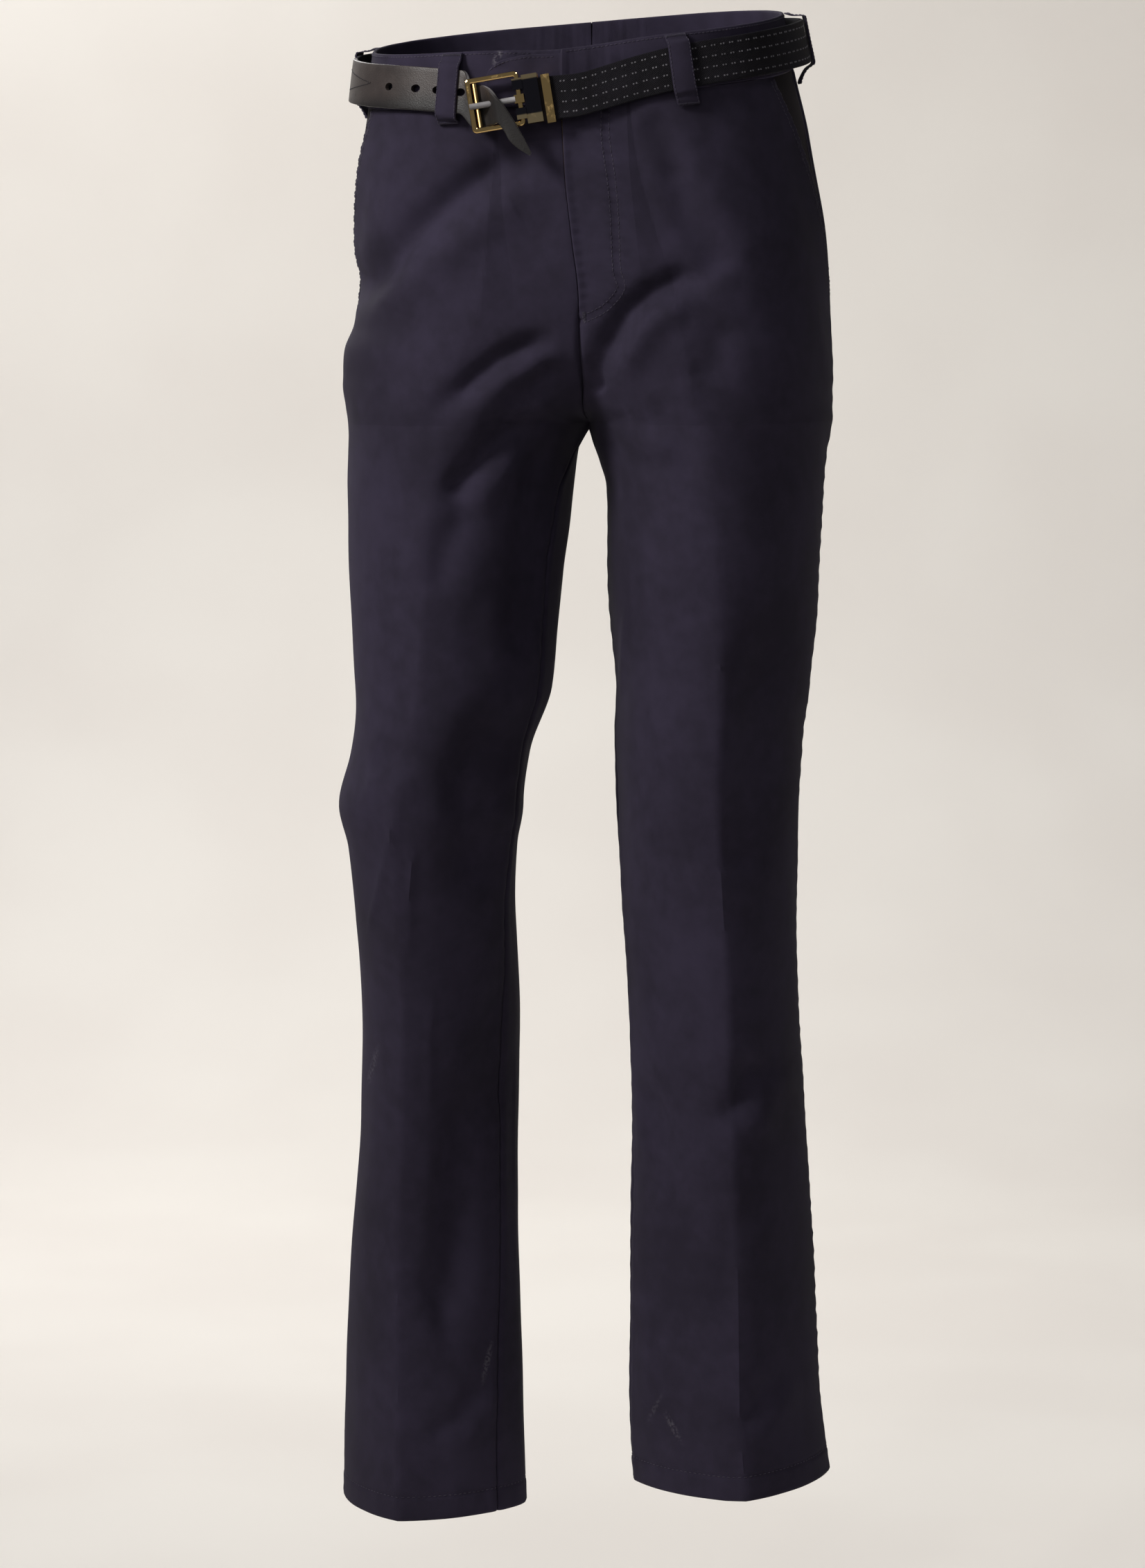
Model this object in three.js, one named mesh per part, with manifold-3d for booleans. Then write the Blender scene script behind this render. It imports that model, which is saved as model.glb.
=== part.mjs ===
// Chino trousers as worn by a standing figure, with a belt that is half leather and half elastic webbing.
// Millimetres, +Z up, front towards -Y, the wearer's left towards +X, origin at the middle of the waist.
import * as THREE from 'three';
import { mergeVertices } from 'three/addons/utils/BufferGeometryUtils.js';
import Module from 'manifold-3d';

// Cloth and seams
const CLOTH = 1.5;
const HEM_CLOTH = 3;
const HEM_HEIGHT = 20;
const BAND_CLOTH = 3;
const BAND_HEIGHT = 40;
const BAND_PROUD = 0.6;
const SEAM_GAP = 0.3;
const FLY_STEP = 1.5;
const FLY_STEP_WIDTH = 7;
const FLY_BOTTOM = -205;
const SHIELD_LIE = 2.4;

// Pose: the waist tilts up to the wearer's left and back, and dips at the buckle
const WAIST_ROLL = 0.079;
const WAIST_PITCH = 0.13;
const WAIST_DIP = 4.5;
const WAIST_DIP_WIDTH = 45;
const TILT_END = -338;
const CROTCH_Z = -283;
const LEFT_HEM_RISE = 0.06;
const LEFT_HEM_CREASE_X = 115;

// Columns of the front panels, as shares of the way from the fly to the crease and from there to the side
const FRONT_INNER_SHARES = [0, 0.07, 0.2, 0.36, 0.52, 0.68, 0.84];
const FRONT_OUTER_SHARES = [0, 0.16, 0.33, 0.5, 0.67, 0.84, 1];
const BACK_STEPS = 7;
const SHIELD_ARCS = [0.02, 0.07, 0.2, 0.36];

// Slanted front pockets
const POCKET_TOP_ARC = 1.68;
const POCKET_BOTTOM = -205;
const POCKET_GAPE = 3;
const FACING_UNDERLAP = 14;
const FACING_LIE = 1.1;
const GAPE_SPREAD = 0.16;

// Belt
const BELT_HEIGHT = 31;
const BELT_DROP = 7;
const BELT_DIP = 14;
const BELT_DIP_X = -12;
const BELT_DIP_WIDTH = 70;
const BELT_CLEARANCE = 1.6;
const BELT_HIP_CLEARANCE = 9;
const LEATHER_THICKNESS = 3.2;
const WEBBING_THICKNESS = 2.6;
const LEATHER_END_ARC = 1.93;
const LEATHER_TO_BUCKLE = 67;
const HOLE_ARCS = [1.47, 1.33, 1.23, 1.13];
const HOLE_LENGTH = 3.9;
const HOLE_HEIGHT = 2.8;
const HIP_SPREAD = 0.38;
const OVER_TAB = { before: 22, rise: 16, after: 56, fall: 30 };
const UNDER_BUCKLE = { before: 98, after: 34, run: 28 };
const LOOP_WIDTH = 15;
const LOOP_CLOTH = 1.6;
const LOOP_BOTTOM = -52;

// Buckle: its own axes are u along the belt towards the wearer's left, v up and w out of the body
const BUCKLE_X = 40;
const BUCKLE_Z = -38;
const BUCKLE_TURN = 9.5;
const BUCKLE_SPACE = 2.6;
const FRAME_LEFT = -22.2;
const FRAME_RIGHT = 16.2;
const FRAME_HALF_HEIGHT = 19.5;
const FRAME_BAR = 3.7;
const HINGE_BAR = 3.4;
const FRAME_DEPTH = 4;
const ROUND_BAR_U = -16;
const ROUND_BAR_RADIUS = 1.6;
const PRONG_RADIUS = 1.6;
const PRONG_V = -0.5;
const CLAMP = { left: 17.8, right: 29, bottom: -18.5, top: 16, front: 2.5 };
const CLAMP_EYES = [[6, 14], [-15, -7]];
const END_BAR = { left: 31.5, right: 37.5, bottom: -20.5, top: 14, front: 1.8 };
const HELD_WEBBING = { top: 12.2, slope: 0.03, height: 30.6, front: -0.8 };
const BACK_PLATE = -5.6;
const PLATE = 1.5;

// Arc positions: 0 inner or centre seam, 1 front crease, 2 side seam, 3 back crease, 4 inner or centre seam
const FRONT_CREASE = 1;
const SIDE_SEAM = 2;
const BACK_CREASE = 3;
const FULL_TURN = 4;

// Seat sections, both sides together: outer edges right and left, the centre seam's x, how far each side's
// centre lies from it, how far past that seam the oval reaches, and its front, widest and back y.
const SEAT_COLUMNS = ['z', 'right', 'left', 'middle', 'centre', 'reach', 'front', 'widest', 'back',
  'frontPower', 'backPower'];
const SEAT = [
  [0, -149, 149, 0, 45, 700, -110, 0, 100, 2.3, 2.3],
  [-40, -154, 157, 0, 48, 600, -112, 0, 106, 2.3, 2.3],
  [-88, -160, 168, 2, 52, 450, -114, 2, 118, 2.3, 2.2],
  [-138, -162, 178, 7, 60, 260, -117, 4, 132, 2.2, 2.2],
  [-188, -162, 184, 12, 70, 130, -119, 5, 136, 2.2, 2.1],
  [-208, -164, 185, 12, 74, 95, -119, 5, 134, 2.2, 2.1],
  [-226, -171, 186, 12, 79, 63, -119, 5, 131, 2.2, 2.1],
  [-253, -173, 187, 12, 84, 30, -118, 5, 124, 2.1, 2.1],
  [-271, -171, 186, 10, 88, 12, -116, 5, 116, 2.1, 2.1],
];

// Leg sections: a closed oval between its outer and inner edges, turned out by the toe angle in degrees.
const LEG_COLUMNS = ['z', 'outer', 'inner', 'front', 'widest', 'back', 'frontPower', 'backPower', 'toe'];
const RIGHT_LEG = [
  [-283, -170, 9, -115, 5, 110, 2.05, 2.1, 0],
  [-305, -170, 0, -114, 3, 104, 2.0, 2.05, 1],
  [-333, -170, -4, -113, 2, 97, 2.0, 2.0, 3],
  [-408, -166, -11, -112, -10, 76, 1.9, 1.95, 6],
  [-478, -162, -18, -113, -20, 62, 1.85, 1.9, 8],
  [-528, -165, -34, -115, -28, 55, 1.8, 1.9, 10],
  [-565, -173, -38, -116, -30, 54, 1.8, 1.85, 11],
  [-598, -166, -43, -108, -25, 57, 1.78, 1.82, 12],
  [-648, -163, -47, -92, -12, 68, 1.75, 1.8, 12],
  [-708, -163, -46, -72, 8, 88, 1.7, 1.75, 12],
  [-808, -168, -49, -50, 30, 108, 1.65, 1.7, 12],
  [-908, -178, -48, -40, 40, 116, 1.6, 1.65, 12],
  [-1008, -184, -45, -36, 42, 118, 1.55, 1.6, 12],
  [-1106, -187, -42, -36, 42, 118, 1.5, 1.6, 12],
];
const LEFT_LEG = [
  [-283, 186, 9, -115, 5, 110, 2.05, 2.1, 0],
  [-305, 183, 14, -113, 3, 105, 2.0, 2.05, 1],
  [-333, 181, 22, -110, -2, 100, 2.0, 2.0, 3],
  [-408, 178, 23, -104, -2, 86, 1.85, 1.95, 6],
  [-478, 171, 29, -98, -4, 77, 1.75, 1.9, 8],
  [-518, 166, 28, -94, -3, 75, 1.72, 1.85, 9],
  [-568, 164, 30, -88, -2, 73, 1.7, 1.85, 10],
  [-628, 163, 32, -80, 2, 76, 1.65, 1.8, 11],
  [-708, 164, 37, -72, 8, 84, 1.6, 1.75, 12],
  [-808, 169, 39, -63, 16, 92, 1.58, 1.7, 12],
  [-908, 176, 38, -58, 20, 96, 1.55, 1.65, 12],
  [-1008, 181, 37, -58, 21, 98, 1.5, 1.6, 12],
  [-1079, 189, 40, -60, 20, 98, 1.5, 1.6, 12],
];

// Where the inseam runs up the right leg, as height and arc position. The left leg's lies at 0.
const RIGHT_INSEAM = [[-283, 0], [-333, 0.2], [-381, 0.22], [-429, 0.17], [-500, 0.12], [-540, 0.05],
  [-600, 0.03], [-648, 0.08], [-738, 0.17], [-906, 0.2], [-1029, 0.27], [-1106, 0.27]];

// Folds: the line of each trough over the face it lies on, as x and z, with its depth and half width.
const FOLD_COLUMNS = ['side', 'face', 'depth', 'width', 'line'];
const FOLDS = [
  ['right', 'front', 7, 14, [[-15, -78], [-46, -87], [-72, -105], [-109, -135], [-148, -174], [-161, -201]]],
  ['right', 'front', 5, 10, [[2, -214], [-25, -222], [-46, -234], [-67, -252], [-106, -288]]],
  ['right', 'front', 4, 9, [[0, -236], [-16, -252], [-45, -270]]],
  ['right', 'front', 5, 11, [[-28, -279], [-70, -321], [-86, -342]]],
  ['right', 'front', 6, 15, [[-51, -489], [-71, -543], [-64, -585], [-70, -639]]],
  ['right', 'front', 5, 15, [[-78, -756], [-87, -867], [-97, -978]]],
  ['left', 'front', 6, 12, [[22, -258], [32, -225], [47, -201], [65, -186], [85, -177], [114, -186]]],
  ['left', 'front', 4, 14, [[79, -102], [91, -135], [107, -159], [116, -180]]],
  ['left', 'front', 4, 16, [[155, -408], [140, -500], [129, -582], [123, -624]]],
  ['left', 'front', 5, 13, [[138, -745], [126, -775], [112, -800]]],
  ['right', 'back', 5, 14, [[-28, -262], [-70, -292], [-122, -305]]],
  ['right', 'back', 6, 16, [[-60, -560], [-105, -575], [-140, -562]]],
  ['right', 'back', 5, 16, [[-80, -640], [-112, -668], [-146, -672]]],
  ['left', 'back', 6, 15, [[36, -258], [80, -286], [134, -300]]],
  ['left', 'back', 5, 16, [[52, -520], [98, -538], [140, -524]]],
  ['left', 'back', 4, 18, [[70, -640], [104, -690], [112, -760]]],
];

// Belt loops: where each crosses the band's top edge and where its lower end is sewn, as arc positions.
const LOOP_COLUMNS = ['name', 'side', 'topArc', 'bottomArc'];
const LOOPS = [
  ['loop_front_right', 'right', 1.19, 1.18],
  ['loop_front_left', 'left', 1.2, 1.23],
  ['loop_side_right', 'right', 2.1, 2.1],
  ['loop_side_left', 'left', 2.1, 2.1],
  ['loop_back_right', 'right', 2.85, 2.85],
  ['loop_back_left', 'left', 2.85, 2.85],
];
const CENTRE_LOOP = 'loop_centre_back';

const SIDES = { right: -1, left: 1 };

function named(columns, row) {
  return Object.fromEntries(columns.map((column, i) => [column, row[i]]));
}

function smooth(t) {
  const c = Math.min(1, Math.max(0, t));
  return c * c * (3 - 2 * c);
}

function hump(distance, width) {
  return Math.exp(-((distance / width) ** 2));
}

// Sections of one side from waist to hem, each as an oval about its own centre.
function sideSections(side) {
  const seat = SEAT.map((row) => {
    const s = named(SEAT_COLUMNS, row);
    const cx = s.middle + side * s.centre;
    const outer = side > 0 ? s.left - cx : cx - s.right;
    return [s.z, cx, outer, s.centre + s.reach, s.front, s.widest, s.back, s.frontPower, s.backPower, 0,
      s.middle];
  });
  const leg = (side > 0 ? LEFT_LEG : RIGHT_LEG).map((row) => {
    const s = named(LEG_COLUMNS, row);
    const half = Math.abs(s.outer - s.inner) / 2;
    const cx = (s.outer + s.inner) / 2;
    return [s.z, cx, half, half, s.front, s.widest, s.back, s.frontPower, s.backPower, s.toe, s.inner];
  });
  return [...seat, ...leg];
}

const SECTION_COLUMNS = ['z', 'cx', 'outer', 'inner', 'front', 'widest', 'back', 'frontPower', 'backPower',
  'toe', 'middle'];
const SECTIONS = { right: sideSections(SIDES.right), left: sideSections(SIDES.left) };

function hemZ(sideName) {
  return SECTIONS[sideName].at(-1)[0];
}

// A section between the rows of the table, by a cubic whose slopes never overshoot.
function sectionAt(sideName, z) {
  const rows = SECTIONS[sideName];
  const depth = Math.min(Math.max(-z, -rows[0][0]), -rows.at(-1)[0]);
  let i = 0;
  while (i < rows.length - 2 && -rows[i + 1][0] < depth) {
    i += 1;
  }
  const slope = (k, column) => {
    const step = (j) => (rows[j + 1][column] - rows[j][column]) / (rows[j][0] - rows[j + 1][0]);
    if (k === 0 || k === rows.length - 1) {
      return step(Math.min(k, rows.length - 2));
    }
    const a = step(k - 1);
    const b = step(k);
    return a * b > 0 ? (2 * a * b) / (a + b) : 0;
  };
  const length = rows[i][0] - rows[i + 1][0];
  const s = (depth + rows[i][0]) / length;
  const values = rows[i].map((_, column) => (2 * s ** 3 - 3 * s ** 2 + 1) * rows[i][column]
    + (s ** 3 - 2 * s ** 2 + s) * length * slope(i, column)
    + (3 * s ** 2 - 2 * s ** 3) * rows[i + 1][column]
    + (s ** 3 - s ** 2) * length * slope(i + 1, column));
  return named(SECTION_COLUMNS, values);
}

// The four quarters of one side's section, each a run of points with the length along it.
const QUARTER_STEPS = 40;
const ringCache = new Map();

function quartersAt(sideName, z) {
  const key = `${sideName} ${z.toFixed(3)}`;
  if (ringCache.has(key)) {
    return ringCache.get(key);
  }
  const side = SIDES[sideName];
  const s = sectionAt(sideName, z);
  const turn = THREE.MathUtils.degToRad(s.toe);
  const cut = z > CROTCH_Z ? Math.min(1, Math.abs(s.cx - s.middle) / s.inner) : 1;
  const start = (power) => Math.acos(cut ** (power / 2));
  const quarter = (half, depth, power, from, to) => {
    const points = [];
    for (let k = 0; k <= QUARTER_STEPS; k += 1) {
      const angle = from + ((to - from) * k) / QUARTER_STEPS;
      const x = half * Math.abs(Math.cos(angle)) ** (2 / power);
      const y = depth * Math.abs(Math.sin(angle)) ** (2 / power);
      const px = x * Math.cos(turn) - y * Math.sin(turn);
      const py = x * Math.sin(turn) + y * Math.cos(turn);
      points.push([s.cx + side * (px + SEAM_GAP / 2), s.widest + py]);
    }
    const lengths = [0];
    for (let k = 1; k < points.length; k += 1) {
      const dx = points[k][0] - points[k - 1][0];
      const dy = points[k][1] - points[k - 1][1];
      lengths.push(lengths[k - 1] + Math.hypot(dx, dy));
    }
    return { points, lengths, total: lengths.at(-1) };
  };
  const right = Math.PI / 2;
  const frontDepth = s.front - s.widest;
  const backDepth = s.back - s.widest;
  const quarters = [
    quarter(-s.inner, frontDepth, s.frontPower, start(s.frontPower), right),
    quarter(s.outer, frontDepth, s.frontPower, right, 0),
    quarter(s.outer, backDepth, s.backPower, 0, right),
    quarter(-s.inner, backDepth, s.backPower, right, start(s.backPower)),
  ];
  ringCache.set(key, quarters);
  return quarters;
}

// A length in millimetres as a step of arc position on the quarter that holds it.
function arcStep(sideName, z, arc, millimetres) {
  const quarter = Math.floor((arc + FULL_TURN) % FULL_TURN);
  return millimetres / quartersAt(sideName, z)[quarter].total;
}

function inseamArc(sideName, z) {
  const next = RIGHT_INSEAM.findIndex((row) => row[0] < z);
  if (sideName === 'left' || z >= CROTCH_Z) {
    return 0;
  }
  const [fromZ, fromArc] = RIGHT_INSEAM.at(next - 1);
  const [toZ, toArc] = RIGHT_INSEAM.at(next);
  return fromArc + (toArc - fromArc) * Math.min(1, (fromZ - z) / Math.max(1, fromZ - toZ));
}

function ringPoint(sideName, z, arc) {
  const closed = z <= CROTCH_Z;
  const wrapped = closed ? (arc + FULL_TURN) % FULL_TURN : Math.min(FULL_TURN, Math.max(0, arc));
  const index = Math.min(3, Math.floor(wrapped));
  const { points, lengths, total } = quartersAt(sideName, z)[index];
  const want = (wrapped - index) * total;
  let k = 1;
  while (k < QUARTER_STEPS && lengths[k] < want) {
    k += 1;
  }
  const share = (want - lengths[k - 1]) / Math.max(1e-9, lengths[k] - lengths[k - 1]);
  return [0, 1].map((axis) => points[k - 1][axis] + share * (points[k][axis] - points[k - 1][axis]));
}

// How far a point lies from a fold's line, and how much of the fold's depth is left near the line's ends.
function foldReach(line, x, z) {
  let best = { distance: Infinity, share: 0 };
  for (let i = 0; i < line.length - 1; i += 1) {
    const [ax, az] = line[i];
    const [bx, bz] = line[i + 1];
    const t = ((x - ax) * (bx - ax) + (z - az) * (bz - az)) / ((bx - ax) ** 2 + (bz - az) ** 2);
    const c = Math.min(1, Math.max(0, t));
    const distance = Math.hypot(x - ax - c * (bx - ax), z - az - c * (bz - az));
    if (distance < best.distance) {
      const along = (i + c) / (line.length - 1);
      best = { distance, share: smooth(4 * along) * smooth(4 * (1 - along)) };
    }
  }
  return best;
}

const FOLD_FADE = 18;

function foldDepth(sideName, x, z, arc) {
  const face = arc < SIDE_SEAM ? 'front' : 'back';
  const toSeam = Math.min(arc % SIDE_SEAM, SIDE_SEAM - (arc % SIDE_SEAM));
  const fade = smooth((toSeam * quartersAt(sideName, z)[Math.min(3, Math.floor(arc))].total) / FOLD_FADE);
  let depth = 0;
  for (const row of FOLDS) {
    const fold = named(FOLD_COLUMNS, row);
    if (fold.side === sideName && fold.face === face) {
      const reach = foldReach(fold.line, x, z);
      depth += fold.depth * reach.share * hump(reach.distance, fold.width);
    }
  }
  return depth * fade;
}

// The left front's folded edge stands proud over the right front all down the fly.
function flyStep(sideName, z, arc) {
  if (sideName !== 'left' || arc > FRONT_CREASE) {
    return 0;
  }
  const from = arc * quartersAt(sideName, z)[0].total;
  return FLY_STEP * (1 - smooth(from / FLY_STEP_WIDTH)) * smooth((z - FLY_BOTTOM) / 12);
}

function pocketArc(z) {
  const share = (z + BAND_HEIGHT) / (POCKET_BOTTOM + BAND_HEIGHT);
  return POCKET_TOP_ARC + (SIDE_SEAM - POCKET_TOP_ARC) * Math.min(1, Math.max(0, share));
}

function waistLift(x, y, z) {
  const dip = y < 0 ? WAIST_DIP * hump(x, WAIST_DIP_WIDTH) : 0;
  return smooth(1 - z / TILT_END) * (WAIST_ROLL * x + WAIST_PITCH * y - dip);
}

function hemLift(sideName, x, z) {
  const past = sideName === 'left' ? Math.max(0, x - LEFT_HEM_CREASE_X) : 0;
  return LEFT_HEM_RISE * past * smooth((-z - 900) / 180);
}

function surfacePoint(sideName, z, arc) {
  const closed = z <= CROTCH_Z;
  const at = closed ? (arc + FULL_TURN) % FULL_TURN : Math.min(FULL_TURN, Math.max(0, arc));
  const [x, y] = ringPoint(sideName, z, at);
  const before = ringPoint(sideName, z, at - 0.02);
  const after = ringPoint(sideName, z, at + 0.02);
  const side = SIDES[sideName];
  const outward = new THREE.Vector2(after[1] - before[1], before[0] - after[0]).normalize();
  outward.multiplyScalar(side);
  const push = flyStep(sideName, z, at) - foldDepth(sideName, x, z, at);
  const px = x + outward.x * push;
  const py = y + outward.y * push;
  return new THREE.Vector3(px, py, z + waistLift(px, py, z) + hemLift(sideName, px, z));
}

const NORMAL_STEP = 3;

function surfaceNormal(sideName, z, arc) {
  const step = arcStep(sideName, z, arc, NORMAL_STEP);
  const open = z > CROTCH_Z;
  const low = open ? Math.max(0, arc - step) : arc - step;
  const high = open ? Math.min(FULL_TURN, arc + step) : arc + step;
  const up = Math.min(0, z + NORMAL_STEP);
  const down = Math.max(hemZ(sideName), z - NORMAL_STEP);
  const around = surfacePoint(sideName, z, high).sub(surfacePoint(sideName, z, low));
  const along = surfacePoint(sideName, up, arc).sub(surfacePoint(sideName, down, arc));
  return around.cross(along).normalize().multiplyScalar(SIDES[sideName]);
}

// A point of the cloth moved out of its face by a distance, never across the centre seams.
function clothPoint(sideName, z, arc, out) {
  const point = surfacePoint(sideName, z, arc).addScaledVector(surfaceNormal(sideName, z, arc), out);
  if (z > CROTCH_Z) {
    const side = SIDES[sideName];
    const { middle } = sectionAt(sideName, z);
    point.x = middle + side * Math.max(SEAM_GAP / 2, side * (point.x - middle));
  }
  return point;
}

// A closed wall from two grids of points, its outer and inner faces.
function wall(outer, inner) {
  const rows = outer.length;
  const columns = outer[0].length;
  const positions = [...outer.flat(), ...inner.flat()].flatMap((p) => [p.x, p.y, p.z]);
  const at = (i, j, face) => face * rows * columns + i * columns + j;
  const index = [];
  const quad = (a, b, c, d) => index.push(a, b, c, a, c, d);
  for (let i = 0; i < rows - 1; i += 1) {
    for (let j = 0; j < columns - 1; j += 1) {
      quad(at(i, j, 0), at(i + 1, j, 0), at(i + 1, j + 1, 0), at(i, j + 1, 0));
      quad(at(i, j, 1), at(i, j + 1, 1), at(i + 1, j + 1, 1), at(i + 1, j, 1));
    }
  }
  for (let i = 0; i < rows - 1; i += 1) {
    quad(at(i, 0, 0), at(i, 0, 1), at(i + 1, 0, 1), at(i + 1, 0, 0));
    quad(at(i, columns - 1, 0), at(i + 1, columns - 1, 0), at(i + 1, columns - 1, 1), at(i, columns - 1, 1));
  }
  for (let j = 0; j < columns - 1; j += 1) {
    quad(at(0, j, 0), at(0, j + 1, 0), at(0, j + 1, 1), at(0, j, 1));
    quad(at(rows - 1, j, 0), at(rows - 1, j, 1), at(rows - 1, j + 1, 1), at(rows - 1, j + 1, 0));
  }
  const geometry = new THREE.BufferGeometry();
  geometry.setAttribute('position', new THREE.Float32BufferAttribute(positions, 3));
  geometry.setIndex(index);
  return facingOut(geometry);
}

// Turns every face round when the solid's signed volume is negative.
function facingOut(geometry) {
  const p = geometry.attributes.position;
  const index = geometry.index.array;
  const corner = (k) => new THREE.Vector3().fromBufferAttribute(p, index[k]);
  let volume = 0;
  for (let k = 0; k < index.length; k += 3) {
    volume += corner(k).dot(corner(k + 1).cross(corner(k + 2)));
  }
  if (volume < 0) {
    for (let k = 0; k < index.length; k += 3) {
      [index[k], index[k + 1]] = [index[k + 1], index[k]];
    }
  }
  geometry.computeVertexNormals();
  return geometry;
}

function spread(from, to, steps) {
  return Array.from({ length: steps + 1 }, (_, i) => from + ((to - from) * i) / steps);
}

// Heights of a panel's rows: close at the crotch, wide down the leg, and two at the turned-up hem.
function panelRows(sideName) {
  const hem = hemZ(sideName);
  return [
    ...spread(-BAND_HEIGHT - SEAM_GAP, -238, 9),
    ...spread(-249, CROTCH_Z, 3),
    ...spread(CROTCH_Z - 22, hem + HEM_HEIGHT + 3, 28),
    hem + HEM_HEIGHT - 2,
    hem,
  ];
}

function clothThickness(sideName, z) {
  return z < hemZ(sideName) + HEM_HEIGHT ? HEM_CLOTH : CLOTH;
}

// Columns of a panel at one height, as arc positions: close together at the fly and at the pocket's edge.
function frontColumns(sideName, z) {
  const first = inseamArc(sideName, z) + arcStep(sideName, z, 0, SEAM_GAP / 2);
  const limit = z > POCKET_BOTTOM ? pocketArc(z) : SIDE_SEAM;
  const last = limit - arcStep(sideName, z, 1.5, SEAM_GAP / 2);
  const inner = FRONT_INNER_SHARES.map((t) => first + t * (FRONT_CREASE - first));
  const outer = FRONT_OUTER_SHARES.map((t) => FRONT_CREASE + t * (last - FRONT_CREASE));
  return [...inner, ...outer];
}

function backColumns(sideName, z) {
  const first = SIDE_SEAM + arcStep(sideName, z, 2.5, SEAM_GAP / 2);
  const last = FULL_TURN + inseamArc(sideName, z) - arcStep(sideName, z, 3.5, SEAM_GAP / 2);
  return [...spread(first, BACK_CREASE, BACK_STEPS), ...spread(BACK_CREASE, last, BACK_STEPS).slice(1)];
}

// The pocket's edge stands a little away from the facing behind it.
function pocketGape(z, arc) {
  if (z < POCKET_BOTTOM) {
    return 0;
  }
  const share = (z + BAND_HEIGHT) / (POCKET_BOTTOM + BAND_HEIGHT);
  return POCKET_GAPE * Math.sin(Math.PI * share) * smooth(1 - (pocketArc(z) - arc) / GAPE_SPREAD);
}

function panel(sideName, columnsAt, gape) {
  const outer = [];
  const inner = [];
  for (const z of panelRows(sideName)) {
    const arcs = columnsAt(sideName, z);
    outer.push(arcs.map((arc) => clothPoint(sideName, z, arc, gape(z, arc))));
    inner.push(arcs.map((arc) => clothPoint(sideName, z, arc, gape(z, arc) - clothThickness(sideName, z))));
  }
  return wall(outer, inner);
}

function frontPanel(sideName) {
  return panel(sideName, frontColumns, pocketGape);
}

function backPanel(sideName) {
  return panel(sideName, backColumns, () => 0);
}

// The facing lies behind the pocket's edge and comes out flush with the back panel at the side seam.
function pocketFacing(sideName) {
  const outer = [];
  const inner = [];
  for (const z of panelRows(sideName).filter((height) => height > POCKET_BOTTOM)) {
    const edge = pocketArc(z);
    const from = edge - arcStep(sideName, z, 1.5, FACING_UNDERLAP);
    const to = SIDE_SEAM - arcStep(sideName, z, 1.5, SEAM_GAP / 2);
    const open = smooth(((to - edge) / arcStep(sideName, z, 1.5, 1) - 3) / 12);
    const out = (arc) => -(CLOTH + FACING_LIE) * (1 - open * smooth((arc - edge) / (to - edge)));
    const arcs = [from, edge, ...[0.2, 0.6, 1].map((t) => edge + t * (to - edge))];
    outer.push(arcs.map((arc) => clothPoint(sideName, z, arc, out(arc))));
    inner.push(arcs.map((arc) => clothPoint(sideName, z, arc, out(arc) - CLOTH)));
  }
  return wall(outer, inner);
}

// The shield backs the fly: it hangs inside the right front and runs on under the left one.
function flyShield() {
  const stations = [...SHIELD_ARCS.map((arc) => ['right', arc]).reverse(),
    ...SHIELD_ARCS.map((arc) => ['left', arc])];
  const rows = panelRows('right').filter((z) => z > FLY_BOTTOM);
  const face = (depth) => rows.map((z) => stations.map(([sideName, arc]) => (
    clothPoint(sideName, z, arc, -SHIELD_LIE - depth - flyStep(sideName, z, arc)))));
  return wall(face(0), face(CLOTH));
}

// The band's two halves. The left one steps out over the right one and ends in a rounded tab.
const BAND_ARCS = [0.1, 0.3, 0.6, 1, 1.2, 1.4, ...spread(1.55, 2.45, 9), 2.6, 2.8, 3, 3.5];
const TAB_LENGTH = 52;
const TAB_ROUND = 16;
const TAB_END_SHARE = 0.25;
const TAB_TOP = { z: -3, fall: 4, from: 20, run: 30 };
const TAB_LIE = BAND_CLOTH + SEAM_GAP;
const STEP_OUT = { from: 0.1, run: 0.6 };

function bandWall(stations) {
  const heights = [0, 0.5, 1];
  const face = (depth) => stations.map(({ sideName, arc, out, top, bottom }) => heights.map((t) => {
    const z = top + t * (bottom - top);
    return clothPoint(sideName, z, arc, BAND_PROUD + out - depth);
  }));
  return wall(face(0), face(BAND_CLOTH));
}

function bandStation(sideName, arc, out) {
  return { sideName, arc, out, top: 0, bottom: -BAND_HEIGHT };
}

function bandHalf(sideName, outAt) {
  const first = arcStep(sideName, 0, 0, SEAM_GAP / 2);
  const last = FULL_TURN - arcStep(sideName, 0, 3, SEAM_GAP / 2);
  return [first, ...BAND_ARCS, last].map((arc) => bandStation(sideName, arc, outAt(arc)));
}

function waistbandRight() {
  return bandWall(bandHalf('right', () => 0));
}

function waistbandLeft() {
  const tab = spread(TAB_LENGTH, 2, 10).map((mm) => {
    const fromEnd = Math.min(1, (TAB_LENGTH - mm) / TAB_ROUND);
    const round = TAB_END_SHARE + (1 - TAB_END_SHARE) * Math.sqrt(1 - (1 - fromEnd) ** 2);
    const top = TAB_TOP.z - TAB_TOP.fall * smooth((mm - TAB_TOP.from) / TAB_TOP.run);
    const middle = (top - BAND_HEIGHT) / 2;
    const half = (top + BAND_HEIGHT) / 2;
    const arc = arcFromFly('right', mm);
    const ends = { top: middle + half * round, bottom: middle - half * round };
    return { sideName: 'right', arc, out: TAB_LIE, ...ends };
  });
  const half = bandHalf('left', (arc) => TAB_LIE * (1 - smooth((arc - STEP_OUT.from) / STEP_OUT.run)));
  return bandWall([...tab, ...half]);
}

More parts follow.
